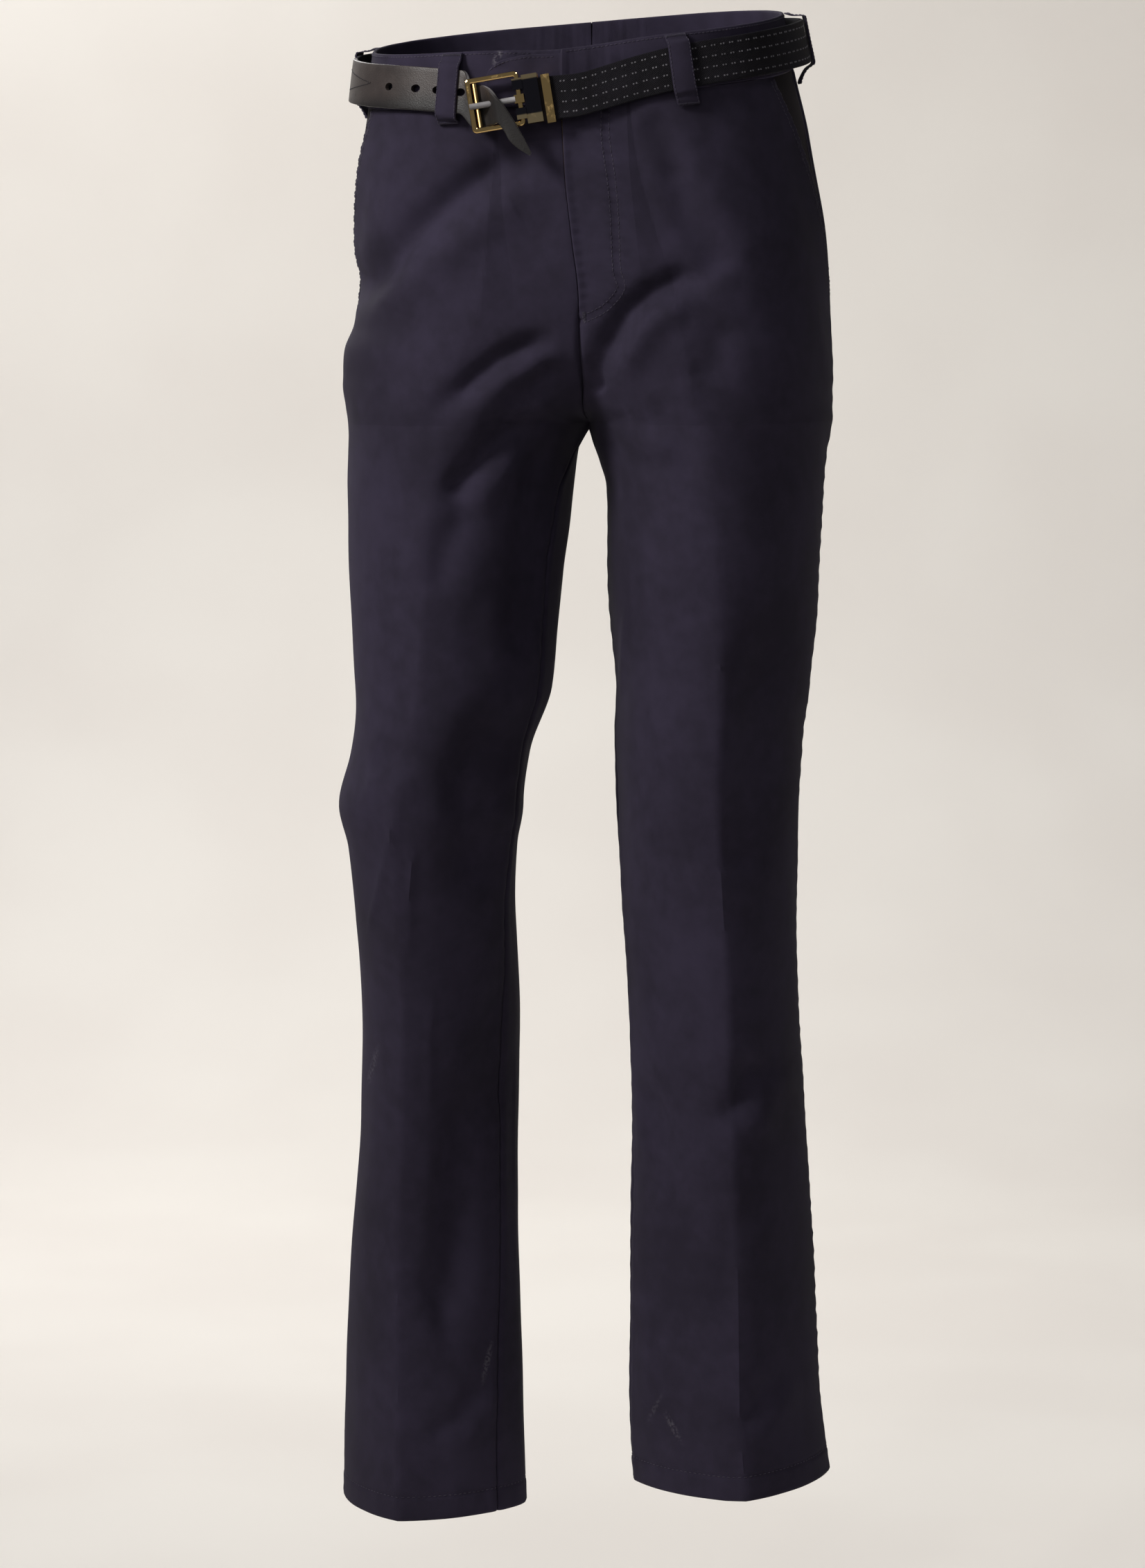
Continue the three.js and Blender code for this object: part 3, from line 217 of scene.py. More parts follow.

# %% [markdown]
# ## Folds
# Worn cloth is drawn towards where it is held. Each fold is a soft trough along a line on the front or back,
# with a ridge thrown up beside it. The lines, depths and widths were read from the photograph; on the
# back, which it doesn't show, similar ones lie under the seat and behind the knees.

# %% Fold lines
# side, face, depth, half width, ridge (its sign says which side of the line), line as x and z
FOLDS = [
    ["right", "front", 11, 14, 4.0, [[-8, -76], [-46, -87], [-72, -105], [-109, -135], [-148, -174], [-161, -201]]],
    ["right", "front", 8, 9, 3.4, [[2, -214], [-25, -222], [-46, -234], [-67, -252], [-106, -288]]],
    ["right", "front", 6, 8, 2.4, [[0, -236], [-16, -252], [-45, -270]]],
    ["right", "front", 9, 10, 3.0, [[-14, -268], [-44, -292], [-70, -321], [-88, -346]]],
    ["right", "front", 4, 11, -1.6, [[-58, -330], [-84, -372], [-92, -410]]],
    ["right", "front", 2.2, 12, 1.2, [[-40, -380], [-62, -420], [-66, -470]]],
    ["right", "front", 9, 15, 1.6, [[-46, -478], [-71, -543], [-64, -585], [-70, -639]]],
    ["right", "front", 7, 15, 1.0, [[-78, -756], [-87, -867], [-97, -978]]],
    ["right", "front", 3, 12, -1.8, [[-140, -520], [-122, -526], [-104, -524]]],
    ["right", "front", -1.9, 2.8, 0, [[-115, -548], [-130, -606], [-151, -668]]],
    ["right", "front", -1.7, 2.6, 0, [[-108, -578], [-113, -630], [-117, -684]]],
    ["right", "front", -0.9, 3, 0, [[-99, -700], [-104, -740], [-106, -800]]],
    ["right", "front", 2.6, 11, 1.2, [[-58, -690], [-64, -750], [-60, -812]]],
    ["right", "front", 1.8, 9, -1.4, [[-120, -905], [-98, -946], [-90, -990]]],
    ["right", "front", 2.4, 8, 1.4, [[-70, -1000], [-88, -1030], [-112, -1044]]],
    ["left", "front", 10, 10, -5.0, [[20, -262], [32, -225], [47, -201], [65, -186], [85, -177], [114, -186]]],
    ["left", "front", 5, 13, 1.8, [[74, -88], [91, -135], [107, -159], [116, -180]]],
    ["left", "front", 6, 6, -2.0, [[16, -229], [20, -246], [26, -262]]],
    ["left", "front", 2.6, 12, -1.2, [[117, -205], [112, -232], [104, -258]]],
    ["left", "front", 3, 11, 1.2, [[60, -262], [84, -292], [96, -330]]],
    ["left", "front", 7, 18, 1.4, [[152, -380], [140, -500], [129, -582], [123, -624]]],
    ["left", "front", -1.2, 3, 0, [[46, -404], [38, -446], [33, -492]]],
    ["left", "front", 2.6, 13, 1.2, [[70, -520], [96, -560], [110, -604]]],
    ["left", "front", 7, 11, 2.6, [[138, -745], [126, -775], [112, -800]]],
    ["left", "front", 2.6, 10, 1.2, [[124, -860], [116, -900], [114, -950]]],
    ["left", "front", 2.6, 9, -1.6, [[52, -770], [66, -800], [72, -836]]],
    ["left", "front", 2.8, 9, 1.6, [[150, -985], [138, -1010], [118, -1030]]],
    ["left", "front", -0.9, 3, 0, [[70, -1020], [78, -1036], [76, -1056]]],
    ["right", "front", 6, 12, 0, [[-20, -272], [-24, -330], [-32, -410], [-42, -470]]],
    ["left", "front", 3, 9, 1.0, [[60, -52], [76, -84], [84, -112]]],
    ["left", "front", 2.4, 8, 1.2, [[22, -290], [50, -312], [84, -318]]],
    ["right", "back", 5, 12, 1.6, [[-28, -262], [-70, -292], [-122, -305]]],
    ["right", "back", 3, 9, 1.4, [[-24, -300], [-62, -330], [-104, -350]]],
    ["right", "back", 6, 14, 2.2, [[-60, -560], [-105, -575], [-140, -562]]],
    ["right", "back", 3, 8, 1.6, [[-66, -596], [-100, -612], [-150, -604]]],
    ["right", "back", 5, 14, 1.6, [[-80, -640], [-112, -668], [-146, -672]]],
    ["right", "back", 2, 12, 0.8, [[-110, -760], [-96, -830], [-90, -900]]],
    ["right", "back", 2, 10, 1.0, [[-92, -430], [-112, -470], [-118, -520]]],
    ["left", "back", 6, 13, 1.8, [[36, -258], [80, -286], [134, -300]]],
    ["left", "back", 3, 9, 1.2, [[40, -300], [78, -328], [118, -344]]],
    ["left", "back", 5, 14, 1.6, [[52, -520], [98, -538], [140, -524]]],
    ["left", "back", 2.6, 8, 1.2, [[60, -560], [92, -572], [136, -566]]],
    ["left", "back", 4, 16, 1.0, [[70, -640], [104, -690], [112, -760]]],
    ["left", "back", 2, 12, 0.8, [[96, -840], [112, -900], [108, -960]]],
    ["right", "back", 2.4, 12, 1.0, [[-20, -96], [-60, -120], [-112, -132]]],
    ["left", "back", 2.4, 12, 1.0, [[26, -100], [70, -122], [126, -138]]],
]


def line_reach(line, x, z):
    """The signed distance to a line on a face, and how much of it is left near its ends."""
    best, signed, share = np.full(x.shape, np.inf), np.zeros(x.shape), np.zeros(x.shape)
    for i, ((ax, az), (bx, bz)) in enumerate(zip(line[:-1], line[1:])):
        dx, dz = bx - ax, bz - az
        t = np.clip(((x - ax) * dx + (z - az) * dz) / (dx * dx + dz * dz), 0, 1)
        distance = np.hypot(x - ax - t * dx, z - az - t * dz)
        turn = np.sign(dx * (z - az) - dz * (x - ax))
        along = (i + t) / (len(line) - 1)
        near = distance < best
        best = np.where(near, distance, best)
        signed = np.where(near, distance * turn, signed)
        share = np.where(near, smooth(4 * along) * smooth(4 * (1 - along)), share)
    return best, signed, share


def fold_push(name, x, z, arc):
    push = np.zeros(x.shape)
    for side, face, depth, width, ridge, line in FOLDS:
        if side != name:
            continue
        here = (arc < 2) if face == "front" else (arc >= 2)
        distance, signed, share = line_reach(line, x, z)
        lifted = abs(ridge) * hump(signed * np.sign(ridge) - 1.9 * width, 1.1 * width) if ridge else 0
        push += np.where(here, share * (lifted - depth * hump(distance, width)), 0)
    return push


print(len(FOLDS), "folds")

# %% [markdown]
# ## Sewing and pressing
# A seam pulls the cloth into a narrow valley, a row of stitches gathers it in small puckers, the fly's folded
# edge stands proud over the other front, and an iron leaves a fine ridge down the middle of each leg.

# %% Seams, puckers and creases as small pushes
FLY_BOTTOM = -205
FLY_STITCH = [[31, -44], [31, -63], [36, -102], [38, -126], [40, -168], [43, -180], [32, -195], [14, -204]]
POCKET_TOP_ARC, POCKET_BOTTOM = 1.68, -205
RIGHT_INSEAM = [[-283, 0], [-333, 0.2], [-381, 0.22], [-429, 0.17], [-500, 0.12], [-540, 0.05],
                [-600, 0.03], [-648, 0.08], [-738, 0.17], [-906, 0.2], [-1029, 0.27], [-1106, 0.27]]
HEM_HEIGHT = 20


def inseam_arc(name, z):
    if name == "left":
        return np.zeros(np.shape(z))
    table = np.array(RIGHT_INSEAM[::-1], float)
    return np.where(z >= CROTCH_Z, 0, np.interp(z, table[:, 0], table[:, 1]))


def pocket_arc(z):
    share = np.clip((z + BAND_HEIGHT) / (POCKET_BOTTOM + BAND_HEIGHT), 0, 1)
    return POCKET_TOP_ARC + (2 - POCKET_TOP_ARC) * share


def wobble(a, b, seed):
    """A slow, uneven wave, the same each run, for whatever a sewing hand leaves uneven."""
    return (np.sin(a * 1.00 + b * 0.63 + seed) + 0.7 * np.sin(a * 0.47 - b * 1.31 + 2.1 * seed)
            + 0.5 * np.sin(a * 1.73 + b * 0.29 + 3.7 * seed)) / 2.2


def puckers(distance, along, pitch, spread, seed):
    wave = np.sin(2 * math.pi * along / pitch + 1.6 * wobble(along / 21, 0, seed))
    return wave * (0.6 + 0.4 * wobble(along / 33, 1, seed)) * hump(distance, spread)


def small_push(name, x, z, arc, quarter_length):
    push = np.zeros(x.shape)
    below = z < -BAND_HEIGHT - 1
    seam = inseam_arc(name, z)
    wrapped = np.where(z <= CROTCH_Z, np.mod(arc - seam + 2, 4) - 2 + seam, arc)
    from_inseam = np.abs(np.where(z <= CROTCH_Z, wrapped - seam, np.minimum(arc, 4 - arc))) * quarter_length
    from_outseam = np.abs(arc - 2) * quarter_length
    fly = smooth((z - FLY_BOTTOM) / 12) * (arc < 1)
    push -= 1.0 * hump(from_inseam, 1.7) * (1 - fly) * below
    push += 0.35 * hump(from_inseam - 6, 3) * (1 - fly) * below
    push -= 0.8 * hump(from_outseam, 1.5) * below
    fork = smooth((FLY_BOTTOM + 5 - z) / 30) * smooth((z - CROTCH_Z + 30) / 26)
    push += 3.4 * hump(from_inseam, 11) * fork * (arc < 1)
    push += 0.3 * hump(from_outseam - 6, 3) * below
    push += 0.35 * puckers(from_inseam, z, 17, 9, 1.3) * (z < CROTCH_Z)
    push += 0.75 * puckers(from_outseam, z, 13, 7, 4.2) * (z < POCKET_BOTTOM)
    pressed = smooth((-z - 250) / 160)
    for middle, strength in ((1, pressed), (3, smooth((-z - 120) / 160))):
        from_crease = np.abs(arc - middle) * quarter_length
        tent = 0.8 * np.exp(-from_crease / 2.2) + 2.3 * np.exp(-from_crease / 16)
        push += strength * tent * (np.abs(arc - middle) < 1)
    if name == "left":
        distance, _, _ = line_reach(FLY_STITCH, x, z)
        front = (arc < 1) & below
        push += np.where(front, 1.0 * puckers(distance, z + 0.6 * x, 8.5, 5.5, 2.2), 0)
        push -= np.where(front, 0.6 * hump(distance, 2.6), 0)
        push += np.where(front & (z > FLY_BOTTOM), 0.5 * wobble(z / 5, x / 9, 0.3) * hump(from_inseam - 14, 12), 0)
        push += np.where(front & (z > FLY_BOTTOM), 0.8 * puckers(from_inseam - 3, z, 8.5, 4.0, 0.7), 0)
    else:
        push -= 0.3 * hump(from_inseam, 2.2) * fly * below
    edge = np.abs(pocket_arc(z) - arc) * quarter_length
    push += 0.65 * puckers(edge - 4, z, 9, 4.5, 3.1 + SIDES[name]) * (z > POCKET_BOTTOM) * below * (arc < 2)
    stitch = HEM_Z[name] + HEM_HEIGHT - 2
    push -= 0.5 * hump(z - stitch, 1.3)
    push += 0.3 * smooth((stitch - z) / 3) + 0.35 * puckers(z - stitch + 3, arc * quarter_length, 16, 7, 5.0)
    girth = arc * quarter_length
    push += below * (0.75 * wobble(girth / 26, z / 34, 1.0 + SIDES[name]) + 0.3 * wobble(girth / 9, z / 15, 2.5))
    return push


print("stitch lines and seams set")

# %% [markdown]
# ## The dressed surface
# One function gives any point of the cloth: the bare oval, pushed in or out along its own level outward
# direction, then lifted with the tilted waist. The plain form, without small pushes, carries the belt.

# %% Points and outward directions on the cloth
FLY_STEP, FLY_STEP_WIDTH = 1.5, 7
WAIST_ROLL, WAIST_PITCH, WAIST_DIP, WAIST_DIP_WIDTH, TILT_END = 0.079, 0.13, 4.5, 45, -338


def waist_lift(x, y, z):
    dip = np.where(y < 0, WAIST_DIP * hump(x, WAIST_DIP_WIDTH), 0)
    return smooth(1 - z / TILT_END) * (WAIST_ROLL * x + WAIST_PITCH * y - dip)


def hem_lift(name, x, z):
    past = np.maximum(0, x - 115) if name == "left" else 0
    return 0.06 * past * smooth((-z - 900) / 180)


def seam_share(z, arc, quarter_length):
    """How freely the cloth may move sideways: not at all on the centre seam, where both halves must meet."""
    free = smooth(np.minimum(arc, 4 - arc) * quarter_length / 6)
    return 1 - (1 - free) * smooth((z[:, None] - CROTCH_Z) / 8)


def cloth(name, z, arc, fine=True):
    """Points of one side at rows z (n) and arc positions (n, m), in millimetres."""
    side = SIDES[name]
    z = np.asarray(z, float)
    arc = np.asarray(arc, float)
    points, lengths = ovals(name, z)
    closed = (z <= CROTCH_Z)[:, None]
    at = np.where(closed, np.mod(arc + 4, 4), np.clip(arc, 0, 4))
    here, before, after = (on_ovals(points, lengths, z, a) for a in (at, at - 0.02, at + 0.02))
    out = np.stack([after[..., 1] - before[..., 1], before[..., 0] - after[..., 0]], -1) * side
    out /= np.maximum(1e-9, np.linalg.norm(out, axis=-1, keepdims=True))
    zz = np.broadcast_to(z[:, None], at.shape)
    quarter = np.minimum(3, at.astype(int))
    total = lengths[np.arange(len(z))[:, None], quarter, -1]
    fade = smooth(np.minimum(at % 2, 2 - at % 2) * total / 18)
    push = fold_push(name, here[..., 0], zz, at) * fade
    if name == "left":
        step = FLY_STEP * (1 - smooth(at * total / FLY_STEP_WIDTH)) * smooth((zz - FLY_BOTTOM) / 12)
        push += np.where(at <= 1, step, 0)
    if fine:
        push += small_push(name, here[..., 0], zz, at, total)
    kept = seam_share(z, at, total)
    x, y = here[..., 0] + out[..., 0] * push * kept, here[..., 1] + out[..., 1] * push
    return np.stack([x, y, zz + waist_lift(x, y, zz) + hem_lift(name, x, zz)], -1)


def grid_normals(points, name):
    """Outward directions of a grid whose rows go down and whose columns go round."""
    around, down = np.gradient(points, axis=1), np.gradient(points, axis=0)
    n = np.cross(around, -down) * SIDES[name]
    return n / np.maximum(1e-9, np.linalg.norm(n, axis=-1, keepdims=True))


def cloth_point(name, z, arc, out):
    """Scattered points (N) moved out of the cloth's face by millimetres, with their outward directions."""
    z, arc, out = (np.array(v, float) for v in np.broadcast_arrays(z, arc, out))
    z = z.ravel()
    quarter = np.clip(np.mod(arc.ravel() + 4, 4).astype(int), 0, 3)
    total = ovals(name, z)[1][np.arange(len(z)), quarter, -1]
    step = 3 / total
    open_ring = z > CROTCH_Z
    a = arc.ravel()
    low = np.where(open_ring, np.maximum(0, a - step), a - step)
    high = np.where(open_ring, np.minimum(4, a + step), a + step)
    p = cloth(name, z, a[:, None], fine=False)[:, 0]
    around = cloth(name, z, high[:, None], fine=False)[:, 0] - cloth(name, z, low[:, None], fine=False)[:, 0]
    up, down = np.minimum(0, z + 3), np.maximum(HEM_Z[name], z - 3)
    along = cloth(name, up, a[:, None], fine=False)[:, 0] - cloth(name, down, a[:, None], fine=False)[:, 0]
    n = np.cross(around, along) * SIDES[name]
    n /= np.linalg.norm(n, axis=-1, keepdims=True)
    p = p + n * out.ravel()[:, None]
    middle = sections_at(name, z)[:, 10]
    side = SIDES[name]
    p[:, 0] = np.where(open_ring, middle + side * np.maximum(SEAM_GAP / 2, side * (p[:, 0] - middle)), p[:, 0])
    return p, n


probe = cloth_point("left", [-38.0], [1.0], 0)[0][0]
print("left front crease at the band:", np.round(probe, 1))

# %% [markdown]
# ## Cloth as closed shells
# A single sheet of faces would look right from outside but thin as paper at the waist and hems. Each piece is
# therefore two grids, outer and inner, joined by a wall round the edge. The flat size of the cloth, in metres,
# goes into its UV map, so that the weave runs along each cut piece at its real scale.

# %% Build a shell from two grids
CLOTH, HEM_CLOTH, BAND_CLOTH = 1.5, 3.0, 3.0
SHARP_ANGLE = math.radians(40)


def add_object(name, data):
    made = bpy.data.objects.new(name, data)
    bpy.context.scene.collection.objects.link(made)
    return made


def shell(name, outer, inner, material, replaces=()):
    """A closed shell of an outer and an inner grid of points, in millimetres."""
    rows, columns = outer.shape[:2]
    points = np.concatenate([outer.reshape(-1, 3), inner.reshape(-1, 3)]) * MM
    at = np.arange(rows * columns).reshape(rows, columns)
    a, b, c, d = at[:-1, :-1], at[1:, :-1], at[1:, 1:], at[:-1, 1:]
    n = rows * columns
    faces = [np.stack([a, b, c, d], -1).reshape(-1, 4), np.stack([a, d, c, b], -1).reshape(-1, 4) + n]

    def wall(edge):
        p, q = edge[:-1], edge[1:]
        return np.stack([p, q, q + n, p + n], -1)

    faces += [wall(edge) for edge in (at[0, ::-1], at[-1, :], at[:, 0], at[::-1, -1])]
    faces = np.concatenate(faces)
    p = points[faces]
    volume = np.einsum("ij,ij->i", p[:, 0], np.cross(p[:, 1], p[:, 2])) + np.einsum(
        "ij,ij->i", p[:, 0], np.cross(p[:, 2], p[:, 3]))
    if volume.sum() < 0:
        faces = faces[:, ::-1]
    across = np.linalg.norm(np.diff(outer, axis=1), axis=-1).mean(0)
    down = np.linalg.norm(np.diff(outer, axis=0), axis=-1).mean(1)
    u = np.concatenate([[0], np.cumsum(across)]) * MM
    v = -np.concatenate([[0], np.cumsum(down)]) * MM
    uv = np.stack(np.broadcast_arrays(u[None, :], v[:, None]), -1).reshape(-1, 2)
    uv = np.concatenate([uv, uv])
    return mesh_piece(name, points, faces, material, uv, replaces)


def mesh_piece(name, points, faces, material, uv, replaces=(), sharp=SHARP_ANGLE):
    mesh = bpy.data.meshes.new(name)
    mesh.from_pydata(points.tolist(), [], [tuple(int(i) for i in f) for f in faces])
    mesh.update()
    layer = mesh.uv_layers.new(name="cut")
    corner = np.zeros(len(mesh.loops), np.int32)
    mesh.loops.foreach_get("vertex_index", corner)
    layer.data.foreach_set("uv", uv[corner].astype(np.float32).ravel())
    mesh.shade_smooth()
    if sharp:
        mesh.set_sharp_from_angle(angle=sharp)
    mesh.materials.append(material)
    piece = add_object(name, mesh)
    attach(piece, "root")
    if replaces:
        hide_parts(*replaces)
    print(f"{name}: {sum(len(p.vertices) - 2 for p in mesh.polygons)} triangles")
    return piece


def rolled(distance, radius):
    """How far a rounded edge has dropped, at a distance from the edge."""
    return radius * (1 - np.sqrt(1 - np.clip(1 - distance / radius, 0, 1) ** 2))


# %% [markdown]
# ## Finishes
# Four effects are node groups. Three serve more than one finish: a diagonal weave with its crossing threads, the
# slow fade and small lint of used cloth, and a pebbled grain with fine scuffs. The fourth, a rubbed streak, is used
# several times in the twill. Each material then sets its own numbers. The cotton is a navy that is nearly black,
# matte, with a little sheen where it turns away.

# %% Node group helpers
def linear(r, g, b):
    return tuple(((c / 255) / 12.92 if c <= 10 else (((c / 255) + 0.055) / 1.055) ** 2.4) for c in (r, g, b)) + (1.0,)


def group(name, vector, numbers, outputs):
    """A node group with a vector input, number inputs with their defaults, and number outputs."""
    tree = bpy.data.node_groups.new(name, "ShaderNodeTree")
    tree.interface.new_socket(name=vector, in_out="INPUT", socket_type="NodeSocketVector")
    for label, value in numbers.items():
        tree.interface.new_socket(name=label, in_out="INPUT", socket_type="NodeSocketFloat").default_value = value
    for label in outputs:
        tree.interface.new_socket(name=label, in_out="OUTPUT", socket_type="NodeSocketFloat")
    return tree, tree.nodes.new("NodeGroupInput"), tree.nodes.new("NodeGroupOutput")


def feed(tree, value, socket):
    """Set a socket to a number or a colour, or link it to another node's output."""
    if isinstance(value, (int, float, tuple)):
        socket.default_value = value
    else:
        tree.links.new(value, socket)


def maths(tree, operation, *values):
    node = tree.nodes.new("ShaderNodeMath")
    node.operation = operation
    for socket, value in zip(node.inputs, values):
        feed(tree, value, socket)
    return node.outputs[0]


def noise(tree, vector, scale, detail=2.0, roughness=0.5):
    node = tree.nodes.new("ShaderNodeTexNoise")
    node.inputs["Detail"].default_value, node.inputs["Roughness"].default_value = detail, roughness
    feed(tree, scale, node.inputs["Scale"])
    tree.links.new(vector, node.inputs["Vector"])
    return node.outputs["Fac"]


def ramp(tree, value, low, high, to_low=0.0, to_high=1.0):
    node = tree.nodes.new("ShaderNodeMapRange")
    node.interpolation_type = "SMOOTHSTEP"
    for label, number in (("From Min", low), ("From Max", high), ("To Min", to_low), ("To Max", to_high)):
        node.inputs[label].default_value = number
    tree.links.new(value, node.inputs["Value"])
    return node.outputs["Result"]


# %% The diagonal weave
weave, inside, outside = group("diagonal_weave", "Cut", {"Ribs per metre": 1100.0, "Lean": 1.6}, ["Height", "Rib"])
parts = weave.nodes.new("ShaderNodeSeparateXYZ")
weave.links.new(inside.outputs["Cut"], parts.inputs[0])
waver = maths(weave, "MULTIPLY", noise(weave, inside.outputs["Cut"], 60.0), 0.0012)
slant = maths(weave, "MULTIPLY_ADD", parts.outputs["X"], inside.outputs["Lean"], parts.outputs["Y"])
slant = maths(weave, "ADD", slant, waver)
turns = maths(weave, "MULTIPLY", maths(weave, "MULTIPLY", slant, inside.outputs["Ribs per metre"]), 2 * math.pi)
rib = maths(weave, "MULTIPLY_ADD", maths(weave, "SINE", turns), 0.5, 0.5)
across = maths(weave, "MULTIPLY", parts.outputs["Y"], inside.outputs["Ribs per metre"])
across = maths(weave, "MULTIPLY", across, 4.4 * math.pi)
thread = maths(weave, "MULTIPLY_ADD", maths(weave, "SINE", across), 0.5, 0.5)
nap = noise(weave, inside.outputs["Cut"], 2600.0, 3.0, 0.6)
height = maths(weave, "MULTIPLY_ADD", thread, 0.22, maths(weave, "MULTIPLY", nap, 0.5))
height = maths(weave, "ADD", maths(weave, "MULTIPLY", rib, 0.6), height)
weave.links.new(height, outside.inputs["Height"])
weave.links.new(rib, outside.inputs["Rib"])

# %% The fade and lint of used cloth
fade, inside, outside = group("fade_and_lint", "Place", {"Patch size": 9.0, "Lint": 1.0}, ["Fade", "Speck"])
broad = noise(fade, inside.outputs["Place"], inside.outputs["Patch size"], 3.0, 0.55)
close = noise(fade, inside.outputs["Place"], 75.0, 3.0, 0.6)
mixed = maths(fade, "MULTIPLY_ADD", close, 0.35, maths(fade, "MULTIPLY", broad, 0.65))
fade.links.new(ramp(fade, mixed, 0.34, 0.68), outside.inputs["Fade"])
dots = fade.nodes.new("ShaderNodeTexVoronoi")
dots.inputs["Scale"].default_value, dots.inputs["Randomness"].default_value = 42.0, 1.0
fade.links.new(inside.outputs["Place"], dots.inputs["Vector"])
chosen = ramp(fade, dots.outputs["Color"], 0.86, 0.9)
speck = maths(fade, "MULTIPLY", ramp(fade, dots.outputs["Distance"], 0.014, 0.03, 1.0, 0.0), chosen)
fade.links.new(maths(fade, "MULTIPLY", speck, inside.outputs["Lint"]), outside.inputs["Speck"])

# %% The pebbled grain
grain, inside, outside = group("pebbled_grain", "Place", {"Pebbles": 900.0}, ["Height", "Scuff"])
pebble = grain.nodes.new("ShaderNodeTexVoronoi")
grain.links.new(inside.outputs["Place"], pebble.inputs["Vector"])
grain.links.new(inside.outputs["Pebbles"], pebble.inputs["Scale"])
fine = noise(grain, inside.outputs["Place"], 420.0, 4.0, 0.6)
height = maths(grain, "MULTIPLY_ADD", pebble.outputs["Distance"], 0.6, maths(grain, "MULTIPLY", fine, 0.5))
grain.links.new(height, outside.inputs["Height"])
grain.links.new(ramp(grain, noise(grain, inside.outputs["Place"], 95.0, 5.0, 0.65), 0.5, 0.72), outside.inputs["Scuff"])

# %% Worn streaks where the cloth has been rubbed
streak, inside, outside = group(
    "worn_streak", "Place", {"Across": 0.0, "Up": 0.0, "Lean": 0.0, "Width": 0.004, "Length": 0.015}, ["Mask"])
parts = streak.nodes.new("ShaderNodeSeparateXYZ")
streak.links.new(inside.outputs["Place"], parts.inputs[0])
up = maths(streak, "SUBTRACT", parts.outputs["Z"], inside.outputs["Up"])
lean = maths(streak, "MULTIPLY", up, inside.outputs["Lean"])
side_way = maths(streak, "SUBTRACT", maths(streak, "SUBTRACT", parts.outputs["X"], inside.outputs["Across"]), lean)
wide = maths(streak, "DIVIDE", side_way, inside.outputs["Width"])
long = maths(streak, "DIVIDE", up, inside.outputs["Length"])
square = maths(streak, "ADD", maths(streak, "MULTIPLY", wide, wide), maths(streak, "MULTIPLY", long, long))
reach = maths(streak, "SQRT", square)
rubbed = maths(streak, "MULTIPLY", ramp(streak, reach, 0.2, 1.0, 1.0, 0.0),
               ramp(streak, noise(streak, inside.outputs["Place"], 420.0, 3.0, 0.6), 0.42, 0.6))
in_front = maths(streak, "LESS_THAN", parts.outputs["Y"], 0.0)
streak.links.new(maths(streak, "MULTIPLY", rubbed, in_front), outside.inputs["Mask"])
print("node groups:", sorted(g.name for g in bpy.data.node_groups))


# %% Materials
def set_inputs(node, **values):
    """Set a node's inputs, named with underscores for spaces."""
    for label, value in values.items():
        node.inputs[label.replace("_", " ")].default_value = value


def place(tree, name, vector, **values):
    """A node group in a material's tree, fed with a vector and with its own numbers."""
    node = tree.nodes.new("ShaderNodeGroup")
    node.node_tree = bpy.data.node_groups[name]
    tree.links.new(vector, node.inputs[0])
    set_inputs(node, **values)
    return node


def blend(tree, share, a, b):
    node = tree.nodes.new("ShaderNodeMix")
    node.data_type = "RGBA"
    for number, value in ((0, share), (6, a), (7, b)):
        feed(tree, value, node.inputs[number])
    return node.outputs[2]


def bump(tree, height, distance):
    node = tree.nodes.new("ShaderNodeBump")
    node.inputs["Distance"].default_value, node.inputs["Strength"].default_value = distance, 1.0
    tree.links.new(height, node.inputs["Height"])
    return node.outputs["Normal"]


def new_material(name):
    material = bpy.data.materials.new(name)
    material.use_nodes = True
    tree = material.node_tree
    return material, tree, tree.nodes["Principled BSDF"], tree.nodes.new("ShaderNodeTexCoord").outputs["Object"]


def finish(tree, shader, color, rough, normal, **values):
    """Link the three varying inputs of a shader and set its uniform ones."""
    for label, output in (("Base Color", color), ("Roughness", rough), ("Normal", normal)):
        tree.links.new(output, shader.inputs[label])
    set_inputs(shader, **values)


def woven(name, dark, light, ribs, lean, rough, sheen, lint=1.0, relief=0.0003, patch=9.0, streaks=()):
    material, tree, shader, where = new_material(name)
    cut = tree.nodes.new("ShaderNodeUVMap")
    cut.uv_map = "cut"
    ribs_node = place(tree, "diagonal_weave", cut.outputs["UV"], Ribs_per_metre=ribs, Lean=lean)
    worn = place(tree, "fade_and_lint", where, Patch_size=patch, Lint=lint)
    body = blend(tree, worn.outputs["Fade"], dark, light)
    threaded = blend(tree, maths(tree, "MULTIPLY", ribs_node.outputs["Rib"], 0.22), body, light)
    colour = blend(tree, worn.outputs["Speck"], threaded, linear(150, 146, 150))
    for across, up, leaning, wide, length, strength in streaks:
        mark = place(tree, "worn_streak", where, Across=across, Up=up, Lean=leaning, Width=wide, Length=length)
        colour = blend(tree, maths(tree, "MULTIPLY", mark.outputs["Mask"], strength), colour, linear(128, 124, 132))
    finish(tree, shader, colour, ramp(tree, worn.outputs["Fade"], 0.0, 1.0, rough - 0.04, rough + 0.05),
           bump(tree, ribs_node.outputs["Height"], relief), Specular_IOR_Level=0.1, Sheen_Weight=sheen,
           Sheen_Roughness=0.45, Sheen_Tint=linear(170, 165, 190))
    return material


